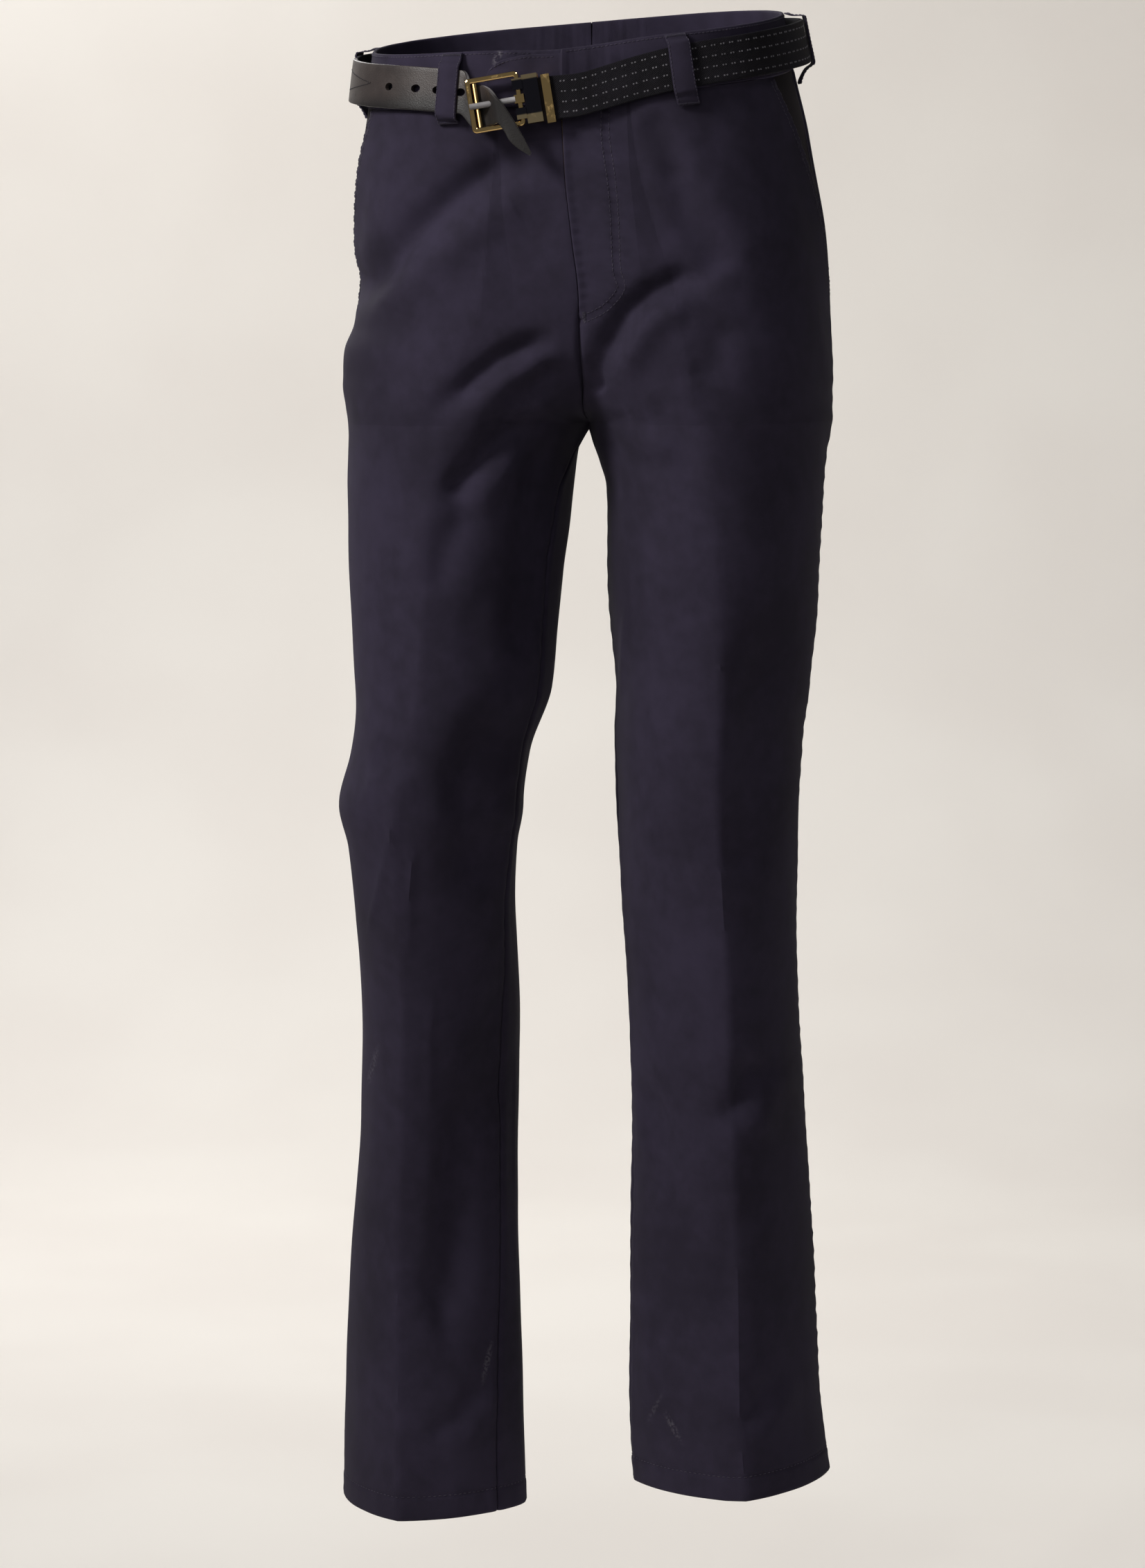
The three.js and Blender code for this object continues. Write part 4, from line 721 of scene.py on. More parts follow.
# across, up, lean, half width and half length in metres, and strength of each rubbed streak
STREAKS = [(-0.150, -0.762, 0.35, 0.004, 0.024, 0.15), (-0.068, -0.990, 0.2, 0.003, 0.022, 0.22),
           (0.075, -1.029, -0.6, 0.004, 0.014, 0.22), (0.060, -1.018, 0.5, 0.003, 0.016, 0.12),
           (-0.046, -0.024, 0.3, 0.004, 0.009, 0.45), (-0.030, -0.012, 0.1, 0.007, 0.004, 0.3)]
TWILL = woven("navy_black_twill", linear(37, 33, 45), linear(50, 45, 61), 1150.0, 1.7, 0.86, 0.03, relief=0.00013,
              streaks=STREAKS)
TWILL_THREAD = woven("navy_black_sewing_thread", linear(52, 48, 60), linear(80, 75, 88), 3000.0, 1.0, 0.65, 0.2,
                     lint=0.0)
POCKET_TWILL = woven("brown_black_pocket_twill", linear(27, 23, 26), linear(38, 32, 35), 1150.0, 1.7, 0.88, 0.03,
                     relief=0.00013)
WEBBING = woven("black_elastic_webbing", linear(13, 12, 15), linear(28, 26, 31), 620.0, -1.2, 0.8, 0.05,
                lint=0.0, relief=0.0006, patch=30.0)
DOTS = woven("grey_webbing_floats", linear(86, 84, 88), linear(124, 122, 128), 1500.0, 0.0, 0.7, 0.15, lint=0.0)


# painted shade: metres below the waist between which the leather's loose tail is painted dark, as in shadow
TAIL_SHADE_FROM, TAIL_SHADE_FULL = 0.046, 0.058


def leather(name, dark, light, rough, scuffed, tail=0.0):
    material, tree, shader, where = new_material(name)
    skin = place(tree, "pebbled_grain", where, Pebbles=1100.0)
    worn = place(tree, "fade_and_lint", where, Patch_size=40.0, Lint=0.0)
    parts = tree.nodes.new("ShaderNodeSeparateXYZ")
    tree.links.new(where, parts.inputs[0])
    # painted shade: further down, the loose tail is blended towards a near-black colour that stands in for its shadow
    tail_painted_shade = ramp(tree, maths(tree, "MULTIPLY", parts.outputs["Z"], -1.0), TAIL_SHADE_FROM, TAIL_SHADE_FULL, 0.0, tail)
    colour = blend(tree, worn.outputs["Fade"], dark, light)
    finish(tree, shader, blend(tree, tail_painted_shade, colour, linear(17, 16, 17)),
           ramp(tree, skin.outputs["Scuff"], 0.0, 1.0, rough, rough + scuffed),
           bump(tree, skin.outputs["Height"], 0.00012), Specular_IOR_Level=0.38)
    return material


# tail sets how strongly the loose tail is painted dark as shade
LEATHER = leather("black_brown_leather", linear(42, 36, 35), linear(54, 47, 45), 0.45, 0.14, tail=0.85)
LEATHER_EDGE = leather("cut_leather_edge", linear(104, 102, 104), linear(150, 148, 150), 0.5, 0.2)
LEATHER_THREAD = woven("leather_stitch_thread", linear(28, 26, 28), linear(50, 47, 48), 3000.0, 1.0, 0.6, 0.1, lint=0.0)


def polished(name, color, shade, rough):
    material, tree, shader, where = new_material(name)
    skin = place(tree, "pebbled_grain", where, Pebbles=260.0)
    finish(tree, shader, blend(tree, maths(tree, "MULTIPLY", skin.outputs["Scuff"], 0.35), color, shade),
           ramp(tree, skin.outputs["Scuff"], 0.0, 1.0, rough, rough + 0.1),
           bump(tree, skin.outputs["Scuff"], 0.00002), Metallic=1.0)
    return material


GILT = polished("polished_pale_gold", linear(253, 214, 144), linear(216, 182, 126), 0.06)
print(len(bpy.data.materials), "materials")

# %% [markdown]
# ## The cut panels
# Two fronts and two backs, as a chino is cut. Rows are close together at the seat and the hem, columns close
# together at the fly, the pocket's edge and the seams, where the cloth bends most. Cloth simulation was left
# out: it would move the folds away from where the photograph has them.

# %% Rows and columns of a panel
def spaced_rows(name):
    hem = HEM_Z[name]
    return np.concatenate([
        np.arange(-BAND_HEIGHT - SEAM_GAP, -300, -2.3), np.arange(-300, -700, -3.6),
        np.arange(-700, hem + 26, -4.6), np.linspace(hem + 26, hem, 19)])


EDGE_MM = np.array([0, 0.3, 0.7, 1.2, 1.8, 2.5, 3.4, 4.5, 6.0])


def panel_columns(name, z, first, last, close_mm, close_steps, middle_steps):
    """Arc positions of every row: close at both edges, and close again for some way past the first one."""
    q_first, q_last = int(np.floor(np.mod(first.mean() + 0.01, 4))), int(np.floor(np.mod(last.mean() - 0.01, 4)))
    lengths = ovals(name, z)[1][:, :, -1]
    near = EDGE_MM[None, :] / lengths[:, q_first][:, None]
    fine = np.linspace(EDGE_MM[-1], close_mm, close_steps + 1)[1:][None, :] / lengths[:, q_first][:, None]
    end = EDGE_MM[::-1][None, :] / lengths[:, q_last][:, None]
    start = first[:, None] + np.concatenate([near, fine], 1)
    stop = last[:, None] - end
    t = np.linspace(0, 1, middle_steps + 2)[1:-1]
    middle = start[:, -1:] + (stop[:, :1] - start[:, -1:]) * t
    return np.concatenate([start, middle, stop], 1)


def panel_shell(name, columns, z, extra, title, node, roll=(0.8, 0.8)):
    surface = cloth(name, z, columns)
    normals = grid_normals(surface, name)
    lengths = np.linalg.norm(np.diff(surface, axis=1), axis=-1)
    from_first = np.concatenate([np.zeros((len(z), 1)), np.cumsum(lengths, 1)], 1)
    from_last = from_first[:, -1:] - from_first
    tucked = 1 - 0.85 * smooth((z[:, None] - FLY_BOTTOM) / 12) * (node == "front_right")
    out = extra(z[:, None], columns) - rolled(from_first, roll[0]) * tucked - rolled(from_last, roll[1])
    out = out - rolled(z - HEM_Z[name], 0.7)[:, None]
    thick = np.where(z < HEM_Z[name] + HEM_HEIGHT, HEM_CLOTH, CLOTH) - 2 * rolled(z - HEM_Z[name], 0.7)
    outer = surface + normals * out[..., None]
    rolls = rolled(from_first, 0.7)[..., None], rolled(from_last, 0.7)[..., None]
    inner = outer - normals * (thick[:, None, None] - rolls[0] - rolls[1])
    side, middle = SIDES[name], sections_at(name, z)[:, 10][:, None]
    share = seam_share(z, columns, ovals(name, z)[1][:, 0 if node.startswith("front") else 3, -1:])
    for grid in (outer, inner):
        grid[..., 0] = surface[..., 0] + (grid[..., 0] - surface[..., 0]) * share
        kept = middle + side * np.maximum(SEAM_GAP / 2, side * (grid[..., 0] - middle))
        grid[..., 0] = np.where((z > CROTCH_Z)[:, None], kept, grid[..., 0])
    return shell(title, outer, inner, TWILL, replaces=(node,))


POCKET_GAPE, GAPE_SPREAD = 3.0, 0.16


def pocket_gape(z, arc):
    share = np.clip((z + BAND_HEIGHT) / (POCKET_BOTTOM + BAND_HEIGHT), 0, 1)
    return POCKET_GAPE * np.sin(math.pi * share) * smooth(1 - (pocket_arc(z) - arc) / GAPE_SPREAD)


# %% Fronts and backs
PANELS = {}
for name in SIDES:
    z = spaced_rows(name)
    lengths = ovals(name, z)[1][:, :, -1]
    seam = inseam_arc(name, z)
    first = seam + SEAM_GAP / 2 / lengths[:, 0]
    last = np.where(z > POCKET_BOTTOM, pocket_arc(z), 2) - SEAM_GAP / 2 / lengths[:, 1]
    columns = panel_columns(name, z, first, last, 46, 24, 46)
    PANELS["front_" + name] = panel_shell(name, columns, z, pocket_gape, "twill_front_" + name, "front_" + name,
                                          roll=(1.1, 1.1))
    first = 2 + SEAM_GAP / 2 / lengths[:, 2]
    last = 4 + seam - SEAM_GAP / 2 / lengths[:, 3]
    columns = panel_columns(name, z, first, last, 12, 2, 58)
    PANELS["back_" + name] = panel_shell(name, columns, z, lambda zz, arc: np.zeros(arc.shape), "twill_back_" + name,
                                         "back_" + name)

# %% [markdown]
# ## Pocket facings and fly shield
# Behind each slanted pocket's edge lies a facing of the same cloth, which shows in the mouth. The shield backs
# the fly. Both are narrow shells on the same form, set a little deeper than the fronts.

# %% Facings and shield
FACING_LIE, FACING_UNDERLAP, SHIELD_LIE = 1.1, 14, 3.6

for name in SIDES:
    z = np.arange(-BAND_HEIGHT - SEAM_GAP, POCKET_BOTTOM + 2, -2.4)
    length = ovals(name, z)[1][:, 1, -1]
    edge = pocket_arc(z)
    start, stop = edge - FACING_UNDERLAP / length, 2 - SEAM_GAP / 2 / length
    t = np.linspace(0, 1, 17)
    before = start[:, None] + (edge - start)[:, None] * t[None, :-1]
    after = edge[:, None] + (stop - edge)[:, None] * np.linspace(0, 1, 29)[None, :]
    arcs = np.concatenate([before, after], 1)
    gap = np.maximum(1e-6, stop - edge)[:, None]
    wide = smooth(((stop - edge) * length - 3) / 12)[:, None]
    sunk = -(CLOTH + FACING_LIE) * (1 - wide * smooth((arcs - edge[:, None]) / gap))
    face = cloth(name, z, arcs, fine=False)
    normal = grid_normals(face, name)
    wave = 0.4 * wobble(arcs * 9, z[:, None] / 11, 2.0)
    seam_dip = rolled(np.maximum(0, (stop[:, None] - arcs) * length[:, None]), 1.0)
    outer = face + normal * (sunk + wave - 0.4 - seam_dip)[..., None]
    PANELS["facing_" + name] = shell("pocket_facing_cloth_" + name, outer, outer - normal * 1.2, POCKET_TWILL,
                                     replaces=("pocket_facing_" + name,))

rows = spaced_rows("right")
rows = rows[rows > FLY_BOTTOM]
reach = np.linspace(0.36, 0.012, 14)
halves = [cloth("right", rows, np.broadcast_to(reach, (len(rows), 14)), fine=False),
          cloth("left", rows, np.broadcast_to(reach[::-1], (len(rows), 14)), fine=False)]
step = FLY_STEP * (1 - smooth(reach[::-1][None, :] * ovals("left", rows)[1][:, 0, -1:] / FLY_STEP_WIDTH))
step = step * smooth((rows[:, None] - FLY_BOTTOM) / 12)
halves[1] = halves[1] - grid_normals(halves[1], "left") * step[..., None]
face = np.concatenate(halves, 1)
normal = grid_normals(face, "left")
outer = face - normal * SHIELD_LIE
PANELS["shield"] = shell("fly_shield_cloth", outer, outer - normal * 1.3, TWILL, replaces=("fly_shield",))

# %% [markdown]
# ## Waistband
# The band is a folded strip, stiff and three millimetres thick with its lining of the same cloth. Its left half
# steps out over the right one and ends in a rounded tab, which the belt has crumpled a little. It could be
# swept along a curve, but the grid keeps it exactly on the tilted waist.

# %% Band halves and tab
BAND_PROUD, TAB_LENGTH, TAB_ROUND, TAB_LIE = 0.6, 52, 16, 3.3


def arc_from_fly(name, millimetres):
    lengths = RING_ZERO[name][1][0, :, -1]
    millimetres = np.asarray(millimetres, float)
    return np.where(millimetres < lengths[0], millimetres / lengths[0], 1 + (millimetres - lengths[0]) / lengths[1])


def rounded_shares(height, radius, steps):
    """Shares of a height, close together near both edges."""
    edge = radius * (1 - np.cos(np.linspace(0, math.pi / 2, 5)))
    inner = np.linspace(edge[-1], height - edge[-1], steps)
    return np.concatenate([edge, inner[1:-1], height - edge[::-1]]) / height


BAND_SHARES = rounded_shares(BAND_HEIGHT, 1.3, 14)


def band_out(surface_mm, depth):
    """Rounded top and bottom edges of the band's face at a set depth."""
    from_edge = np.minimum(BAND_SHARES, 1 - BAND_SHARES)[:, None] * BAND_HEIGHT
    return surface_mm - depth - (1 if depth == 0 else -1) * rolled(from_edge, 1.3)


def band_shell(title, face, normal, out, node):
    outer = face + normal * band_out(BAND_PROUD + out, 0)[..., None]
    inner = face + normal * band_out(BAND_PROUD + out, BAND_CLOTH)[..., None]
    return shell(title, outer, inner, TWILL, replaces=(node,))


def half_band(name):
    z = -BAND_SHARES * BAND_HEIGHT
    lengths = RING_ZERO[name][1][0, :, -1]
    first, last = SEAM_GAP / 2 / lengths[0], 4 - SEAM_GAP / 2 / lengths[3]
    arcs = np.concatenate([np.linspace(first, 1, 40), np.linspace(1, last, 190)[1:]])
    return z, arcs, cloth(name, z, np.broadcast_to(arcs, (len(z), len(arcs))), fine=False)


def band_waves(arcs, z, seed):
    return 0.55 * wobble(arcs * 9, z / 24, seed) + 0.25 * wobble(arcs * 31, z / 9, seed + 1)


z, arcs, face = half_band("right")
normal = grid_normals(face, "right")
PANELS["band_right"] = band_shell("waistband_cloth_right", face, normal, band_waves(arcs[None, :], z[:, None], 0.4),
                                  "waistband_right")

def tab_outline(along):
    """The tab's middle height, half height and roundness at lengths along it from the fly."""
    from_end = np.minimum(1, (TAB_LENGTH - along) / TAB_ROUND)
    top = -3 - 4 * smooth((along - 20) / 30)
    round_off = 0.25 + 0.75 * np.sqrt(np.maximum(0, 1 - (1 - from_end) ** 2))
    return (top - BAND_HEIGHT) / 2, (top + BAND_HEIGHT) / 2, round_off


z, arcs, face = half_band("left")
along = np.linspace(TAB_LENGTH, 0.8, 44)
middle, half, round_off = tab_outline(along)
tab_z = middle + half * round_off - BAND_SHARES[:, None] * (2 * half * round_off)
tab_arc = np.broadcast_to(arc_from_fly("right", along), tab_z.shape)
tab, tab_normal = cloth_point("right", tab_z, tab_arc, 0)
tab, tab_normal = tab.reshape(tab_z.shape + (3,)), tab_normal.reshape(tab_z.shape + (3,))
normal = np.concatenate([tab_normal, grid_normals(face, "left")], 1)
face = np.concatenate([tab, face], 1)
end = rolled(np.maximum(0, TAB_LENGTH - along), 1.4)[None, :]
crumple = 0.8 * puckers(TAB_LENGTH - along[None, :] - 7, tab_z, 9, 9, 1.1) + 0.6 * wobble(along / 5, tab_z / 7, 3.0)
tab_out = TAB_LIE + 0.4 + crumple * smooth((TAB_LENGTH - along) / 6) - end
left_out = TAB_LIE * (1 - smooth((arcs - 0.1) / 0.6)) + 0.4 * (1 - smooth(arcs / 0.3))
left_out = left_out[None, :] + band_waves(arcs[None, :], z[:, None], 2.4)
PANELS["band_left"] = band_shell("waistband_cloth_left", face, normal, np.concatenate([tab_out, left_out], 1),
                                 "waistband_left")

# %% [markdown]
# ## Belt loops
# Seven loops carry the belt. Each is a narrow folded strip, sewn at the band's top edge, lifted over the belt
# and tucked under below it, so its profile follows the belt's own stand-off from the band.

# %% The belt's line round the waist
BELT_HEIGHT, BELT_DROP, BELT_DIP, BELT_DIP_X, BELT_DIP_WIDTH = 31, 7, 14, -12, 70
BELT_CLEARANCE, BELT_HIP_CLEARANCE, HIP_SPREAD = 1.6, 9, 0.38
LEATHER_THICKNESS, WEBBING_THICKNESS = 3.2, 2.6
LOOP_WIDTH, LOOP_CLOTH, LOOP_BOTTOM, BUCKLE_SPACE = 15, 1.6, -52, 2.6


def from_fly(name, arc):
    lengths = RING_ZERO[name][1][0, :, -1]
    return SIDES[name] * np.where(arc < 1, arc * lengths[0], lengths[0] + (arc - 1) * lengths[1])


def stand_off(name, arc):
    hip = BELT_HIP_CLEARANCE * hump(arc - 2, HIP_SPREAD)
    along = from_fly(name, arc)
    over_tab = smooth((TAB_LENGTH + 22 + along) / 16) * smooth((56 - along) / 30)
    at_buckle = smooth((98 + along) / 28) * smooth((34 - along) / 28)
    front = TAB_LIE * over_tab + BUCKLE_SPACE * at_buckle
    return BAND_PROUD + BELT_CLEARANCE + hip + np.where(arc > 2, 0, front)


def ring_zero_point(name, arc):
    points, lengths = RING_ZERO[name]
    return on_ovals(points, lengths, np.array([0.0]), np.atleast_1d(arc)[None, :])[0]


def belt_top(name, arc):
    x, y = ring_zero_point(name, arc).T
    return -BELT_DROP - np.where(y < 0, BELT_DIP * hump(x - BELT_DIP_X, BELT_DIP_WIDTH), 0)


def belt_rows(name, arcs, thickness, shares):
    top = belt_top(name, arcs)[:, None]
    z = top - shares[None, :] * BELT_HEIGHT
    out = stand_off(name, arcs)[:, None] + thickness + np.zeros(z.shape)
    points, _ = cloth_point(name, z, np.broadcast_to(arcs[:, None], z.shape), out)
    return points.reshape(z.shape + (3,))


# %% Loops
LOOPS = [["loop_front_right", "right", 1.19, 1.18], ["loop_front_left", "left", 1.2, 1.23],
         ["loop_side_right", "right", 2.1, 2.1], ["loop_side_left", "left", 2.1, 2.1],
         ["loop_back_right", "right", 2.85, 2.85], ["loop_back_left", "left", 2.85, 2.85]]
LOOP_STEPS = 8
LOOP_LINES = {}


def loop_profile(name, arcs):
    """Stations down a loop at each arc position: height and how far its inner face stands out."""
    top = belt_top(name, arcs)
    bottom, sewn = top - BELT_HEIGHT, BAND_PROUD + SEAM_GAP
    out = stand_off(name, arcs) + LEATHER_THICKNESS + 2 * SEAM_GAP
    heights = [-1 + 0 * top, top / 2, top + 1, (top + bottom) / 2, bottom - 1, bottom - 5,
               LOOP_BOTTOM + 2 + 0 * top, LOOP_BOTTOM + 0 * top]
    outs = [sewn + 0 * top, sewn + 0.35 * out, out, out, out, sewn + 0.55 * (out - sewn), sewn + 1 + 0 * top,
            sewn + 0 * top]
    return np.array(heights), np.array(outs)


def eased(table, t):
    """Values between the stations of a table, along a curve that never overshoots them."""
    slope = even_slopes(np.diff(table, axis=0))
    i = np.clip(t.astype(int), 0, len(table) - 2)
    return cubic((t - i)[:, None], 1, table[i], slope[i], table[i + 1], slope[i + 1])


def loop_shell(title, node, stations_at, skew):
    t = np.concatenate([np.linspace(0, 0.3, 4), np.linspace(0.5, LOOP_STEPS - 1.5, 34),
                        np.linspace(LOOP_STEPS - 1.3, LOOP_STEPS - 1, 4)])
    across = rounded_shares(LOOP_WIDTH, 0.9, 9) * 2 - 1
    grids = [], []
    for u in across:
        side, arc = stations_at(u * LOOP_WIDTH / 2)
        z, out = loop_profile(side, np.array([arc]))
        z, out = eased(z, t)[:, 0], eased(out, t)[:, 0]
        lean = skew * t / (LOOP_STEPS - 1)
        edge = (1 - abs(u)) * LOOP_WIDTH / 2
        crown = 0.5 * (1 - u * u) + 0.25 * wobble(z / 6, u * 2, skew * 9 + 1.7)
        tuck = 0.7 * smooth((LOOP_BOTTOM + 6 - z) / 3) + 0.5 * smooth((z + 5) / 3)
        ends = rolled(np.minimum(z - z.min(), z.max() - z), 0.8)
        for face, deep in ((0, LOOP_CLOTH + crown + tuck - rolled(edge, 0.9) - ends),
                           (1, 0.15 + 0.4 * rolled(edge, 0.9) + 0 * z)):
            p, _ = cloth_point(side, z, np.broadcast_to(arc, z.shape) + lean, out + deep)
            grids[face].append(p)
    outer, inner = np.stack(grids[0], 1), np.stack(grids[1], 1)
    if np.dot(np.cross(outer[5, -1] - outer[5, 0], outer[20, 0] - outer[5, 0]), outer[20, 8] - inner[20, 8]) > 0:
        outer, inner = outer[:, ::-1], inner[:, ::-1]
    LOOP_LINES[title] = outer
    return shell(title, outer, inner, TWILL, replaces=(node,))


for node, side, top_arc, bottom_arc in LOOPS:
    length = RING_ZERO[side][1][0, int(top_arc), -1]
    PANELS[node] = loop_shell(node + "_cloth", node, lambda mm, s=side, a=top_arc, l=length: (s, a + mm / l),
                              bottom_arc - top_arc)
length = RING_ZERO["right"][1][0, 3, -1]
PANELS["loop_centre_back"] = loop_shell(
    "loop_centre_back_cloth", "loop_centre_back",
    lambda mm: ("right", 4 + mm / length) if mm < 0 else ("left", 4 - max(mm, 0.2) / length), 0)

# %% [markdown]
# ## Seam allowances
# Inside, each long seam is pressed open: the turned edges of both panels lie flat behind it. One narrow strip
# behind each seam stands for the two edges, and it also closes the seam to the light, as sewing does.

# %% Strips behind the long seams
ALLOWANCE, ALLOWANCE_DEPTH, ALLOWANCE_CLOTH = 9, 1.2, 0.9


def allowance(title, name, z, centre):
    """A strip across the seam of one side, at a centre arc for every row."""
    lengths = ovals(name, z)[1]
    q = np.mod(np.floor(centre - 0.001), 4).astype(int)
    half = ALLOWANCE / lengths[np.arange(len(z)), q, -1]
    arcs = centre[:, None] + half[:, None] * np.linspace(-1, 1, 13)
    face = cloth(name, z, arcs)
    normal = grid_normals(face, name)
    outer = face - normal * ALLOWANCE_DEPTH
    return shell(title, outer, outer - normal * ALLOWANCE_CLOTH, TWILL)


def centre_allowance(title, z, edge, face_name):
    """A strip behind the centre seam, half of it on each side; edge is arc 0 in front and 4 behind."""
    halves = []
    for name in ("right", "left"):
        length = ovals(name, z)[1][:, 0 if edge == 0 else 3, -1:]
        inset = np.linspace(ALLOWANCE, 0.05, 8)[None, :] / length
        halves.append(cloth(name, z, inset if edge == 0 else edge - inset))
    face = np.concatenate([halves[0], halves[1][:, ::-1]], 1)
    normal = grid_normals(face, face_name)
    outer = face - normal * ALLOWANCE_DEPTH
    return shell(title, outer, outer - normal * ALLOWANCE_CLOTH, TWILL)


for name in SIDES:
    z = spaced_rows(name)[::2]
    PANELS["outseam_" + name] = allowance("outseam_allowance_" + name, name, z, np.full(len(z), 2.0))
    z = z[z < CROTCH_Z - 1]
    PANELS["inseam_" + name] = allowance("inseam_allowance_" + name, name, z, inseam_arc(name, z) + 4.0)
z = np.arange(-BAND_HEIGHT - 1, CROTCH_Z - 1, -4.0)
PANELS["seat_seam"] = centre_allowance("seat_seam_allowance", z, 4, "right")
z = np.arange(FLY_BOTTOM + 6, CROTCH_Z - 1, -4.0)
PANELS["fork_seam"] = centre_allowance("fork_seam_allowance", z, 0, "left")

# %% [markdown]
# ## Buckle axes
# The buckle stands on the belt a little to the wearer's right of the fly. Its own axes are u along the belt,
# v up and w out of the body, worked out from the same form, so the metal and the belt's ends meet.

# %% Buckle frame of reference
BUCKLE_X, BUCKLE_Z, BUCKLE_TURN = 40, -38, 9.5
arc = arc_from_fly("right", BUCKLE_X)
origin, w_axis = cloth_point("right", BUCKLE_Z, arc, stand_off("right", arc) + LEATHER_THICKNESS + 0.4)
origin, w_axis = origin[0], w_axis[0]
level = np.cross([0, 0, 1], w_axis)
level /= np.linalg.norm(level)
turn = Matrix.Rotation(math.radians(BUCKLE_TURN), 3, Vector(w_axis))
u_axis = np.array(turn @ Vector(level))
v_axis = np.cross(w_axis, u_axis)
BUCKLE = np.stack([u_axis, v_axis, w_axis])


def on_buckle(points):
    return origin + np.asarray(points, float) @ BUCKLE


print("buckle at", np.round(origin, 1))

# %% [markdown]
# ## Belt
# The leather half is a cut strap with square, paler edges and punched holes; its free end passes through the
# buckle and hangs out of it, twisted and turned down. The other half is elastic webbing with rows of small grey
# floats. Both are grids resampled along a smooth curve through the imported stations, so no corner shows.

# %% Smooth strips
def curve_through(rows, spacing):
    """A grid resampled along its rows by a curve through them, with points about a spacing apart."""
    chord = np.concatenate([[0], np.cumsum(np.linalg.norm(np.diff(rows, axis=0), axis=-1).mean(1))])
    tangent = np.gradient(rows, chord, axis=0)
    s = np.linspace(0, chord[-1], int(chord[-1] / spacing) + 2)
    i = np.clip(np.searchsorted(chord, s, side="right") - 1, 0, len(chord) - 2)
    run = (chord[i + 1] - chord[i])[:, None, None]
    t = ((s - chord[i]) / (chord[i + 1] - chord[i]))[:, None, None]
    return cubic(t, run, rows[i], tangent[i], rows[i + 1], tangent[i + 1]), s


def strip_normals(grid):
    along, across = np.gradient(grid, axis=0), np.gradient(grid, axis=1)
    n = np.cross(across, along)
    return n / np.maximum(1e-9, np.linalg.norm(n, axis=-1, keepdims=True))


def strap(title, grid, shares, thickness, radius, relief, material, node, rim=None):
    """A strap's piece, with its outer face and the directions out of it; rim is the material of its cut edges."""
    normal = strip_normals(grid)
    edge = np.minimum(shares, 1 - shares)[None, :] * BELT_HEIGHT
    outer = grid + normal * (relief - rolled(edge, radius))[..., None]
    inner = grid - normal * (thickness - rolled(edge, radius) * 0.8)[..., None]
    piece = shell(title, outer, inner, material, replaces=(node,))
    if rim:
        piece.data.materials.append(rim)
        quads = 2 * (grid.shape[0] - 1) * (grid.shape[1] - 1)
        index = np.zeros(len(piece.data.polygons), np.int32)
        index[quads:] = 1
        piece.data.polygons.foreach_set("material_index", index)
    return piece, outer, normal


# %% Leather strap
LEATHER_END_ARC, LEATHER_TO_BUCKLE = 1.93, 67
STRAP_SHARES = rounded_shares(BELT_HEIGHT, 0.7, 11)
TAIL = np.array([
    [-19, 15, -0.4, -20.5, -15.2, -0.4],
    [-14, 15, -0.4, -15.2, -15.2, -0.4],
    [-9, 12, 4.4, -11, -15.2, 1.5],
    [-5, 7.5, 9.4, -6.5, -15.2, 5.4],
    [-2.5, 4, 11.2, -3.2, -15.2, 8.2],
    [1, 0, 11.4, 0, -21, 8.4],
    [7.4, -12.8, 10.4, 3, -28.5, 8.8],
    [12.6, -26, 9.4, 8.5, -35.5, 8.6],
    [17.2, -39.5, 8.2, 15.6, -41.5, 8.2],
])
arcs = np.linspace(LEATHER_END_ARC, float(arc_from_fly("right", LEATHER_TO_BUCKLE)), 25)
worn = belt_rows("right", arcs, LEATHER_THICKNESS, STRAP_SHARES)
tail = np.stack([on_buckle(TAIL[:, :3] + s * (TAIL[:, 3:] - TAIL[:, :3])) for s in STRAP_SHARES], 1)
grid, along = curve_through(np.concatenate([worn, tail]), 1.6)
relief = 0.25 * wobble(along[:, None] / 23, STRAP_SHARES[None, :] * 2, 1.0)
LEATHER_STRAP = strap("leather_strap", grid, STRAP_SHARES, LEATHER_THICKNESS, 0.7, relief, LEATHER,
                      "belt_leather", rim=LEATHER_EDGE)[0]

# %% Elastic webbing
CLAMP_LEFT, CLAMP_RIGHT, END_BAR_RIGHT, PLATE = 17.8, 29, 37.5, 1.5
WEB_SHARES = rounded_shares(BELT_HEIGHT, 0.8, 13)
held = [on_buckle(np.stack([np.full(len(WEB_SHARES), u), 12.2 - 0.03 * (u - END_BAR_RIGHT) - WEB_SHARES * 30.6,
                            np.full(len(WEB_SHARES), -0.8)], 1))
        for u in (CLAMP_LEFT + PLATE + SEAM_GAP, CLAMP_RIGHT, END_BAR_RIGHT + 3)]
left_arcs = np.concatenate([[0.3, 0.5, 0.75, 1], np.linspace(1.2, 2.38, 12), np.linspace(2.5, 3.97, 12)])
right_arcs = np.concatenate([np.linspace(3.97, 2.55, 12), np.linspace(2.4, LEATHER_END_ARC + 0.004, 6)])
rows = np.concatenate([np.stack(held), belt_rows("left", left_arcs, WEBBING_THICKNESS, WEB_SHARES),
                       belt_rows("right", right_arcs, WEBBING_THICKNESS, WEB_SHARES)])
grid, along = curve_through(rows, 2.0)
relief = 0.3 * wobble(along[:, None] / 18, WEB_SHARES[None, :] * 2, 2.0)
relief = relief + 0.18 * hump(np.minimum(WEB_SHARES, 1 - WEB_SHARES) * BELT_HEIGHT - 1.3, 0.8)[None, :]
WEBBING_STRAP, WEB_FACE, WEB_OUT = strap("elastic_webbing", grid, WEB_SHARES, WEBBING_THICKNESS, 0.8, relief, WEBBING,
                                         "belt_webbing")


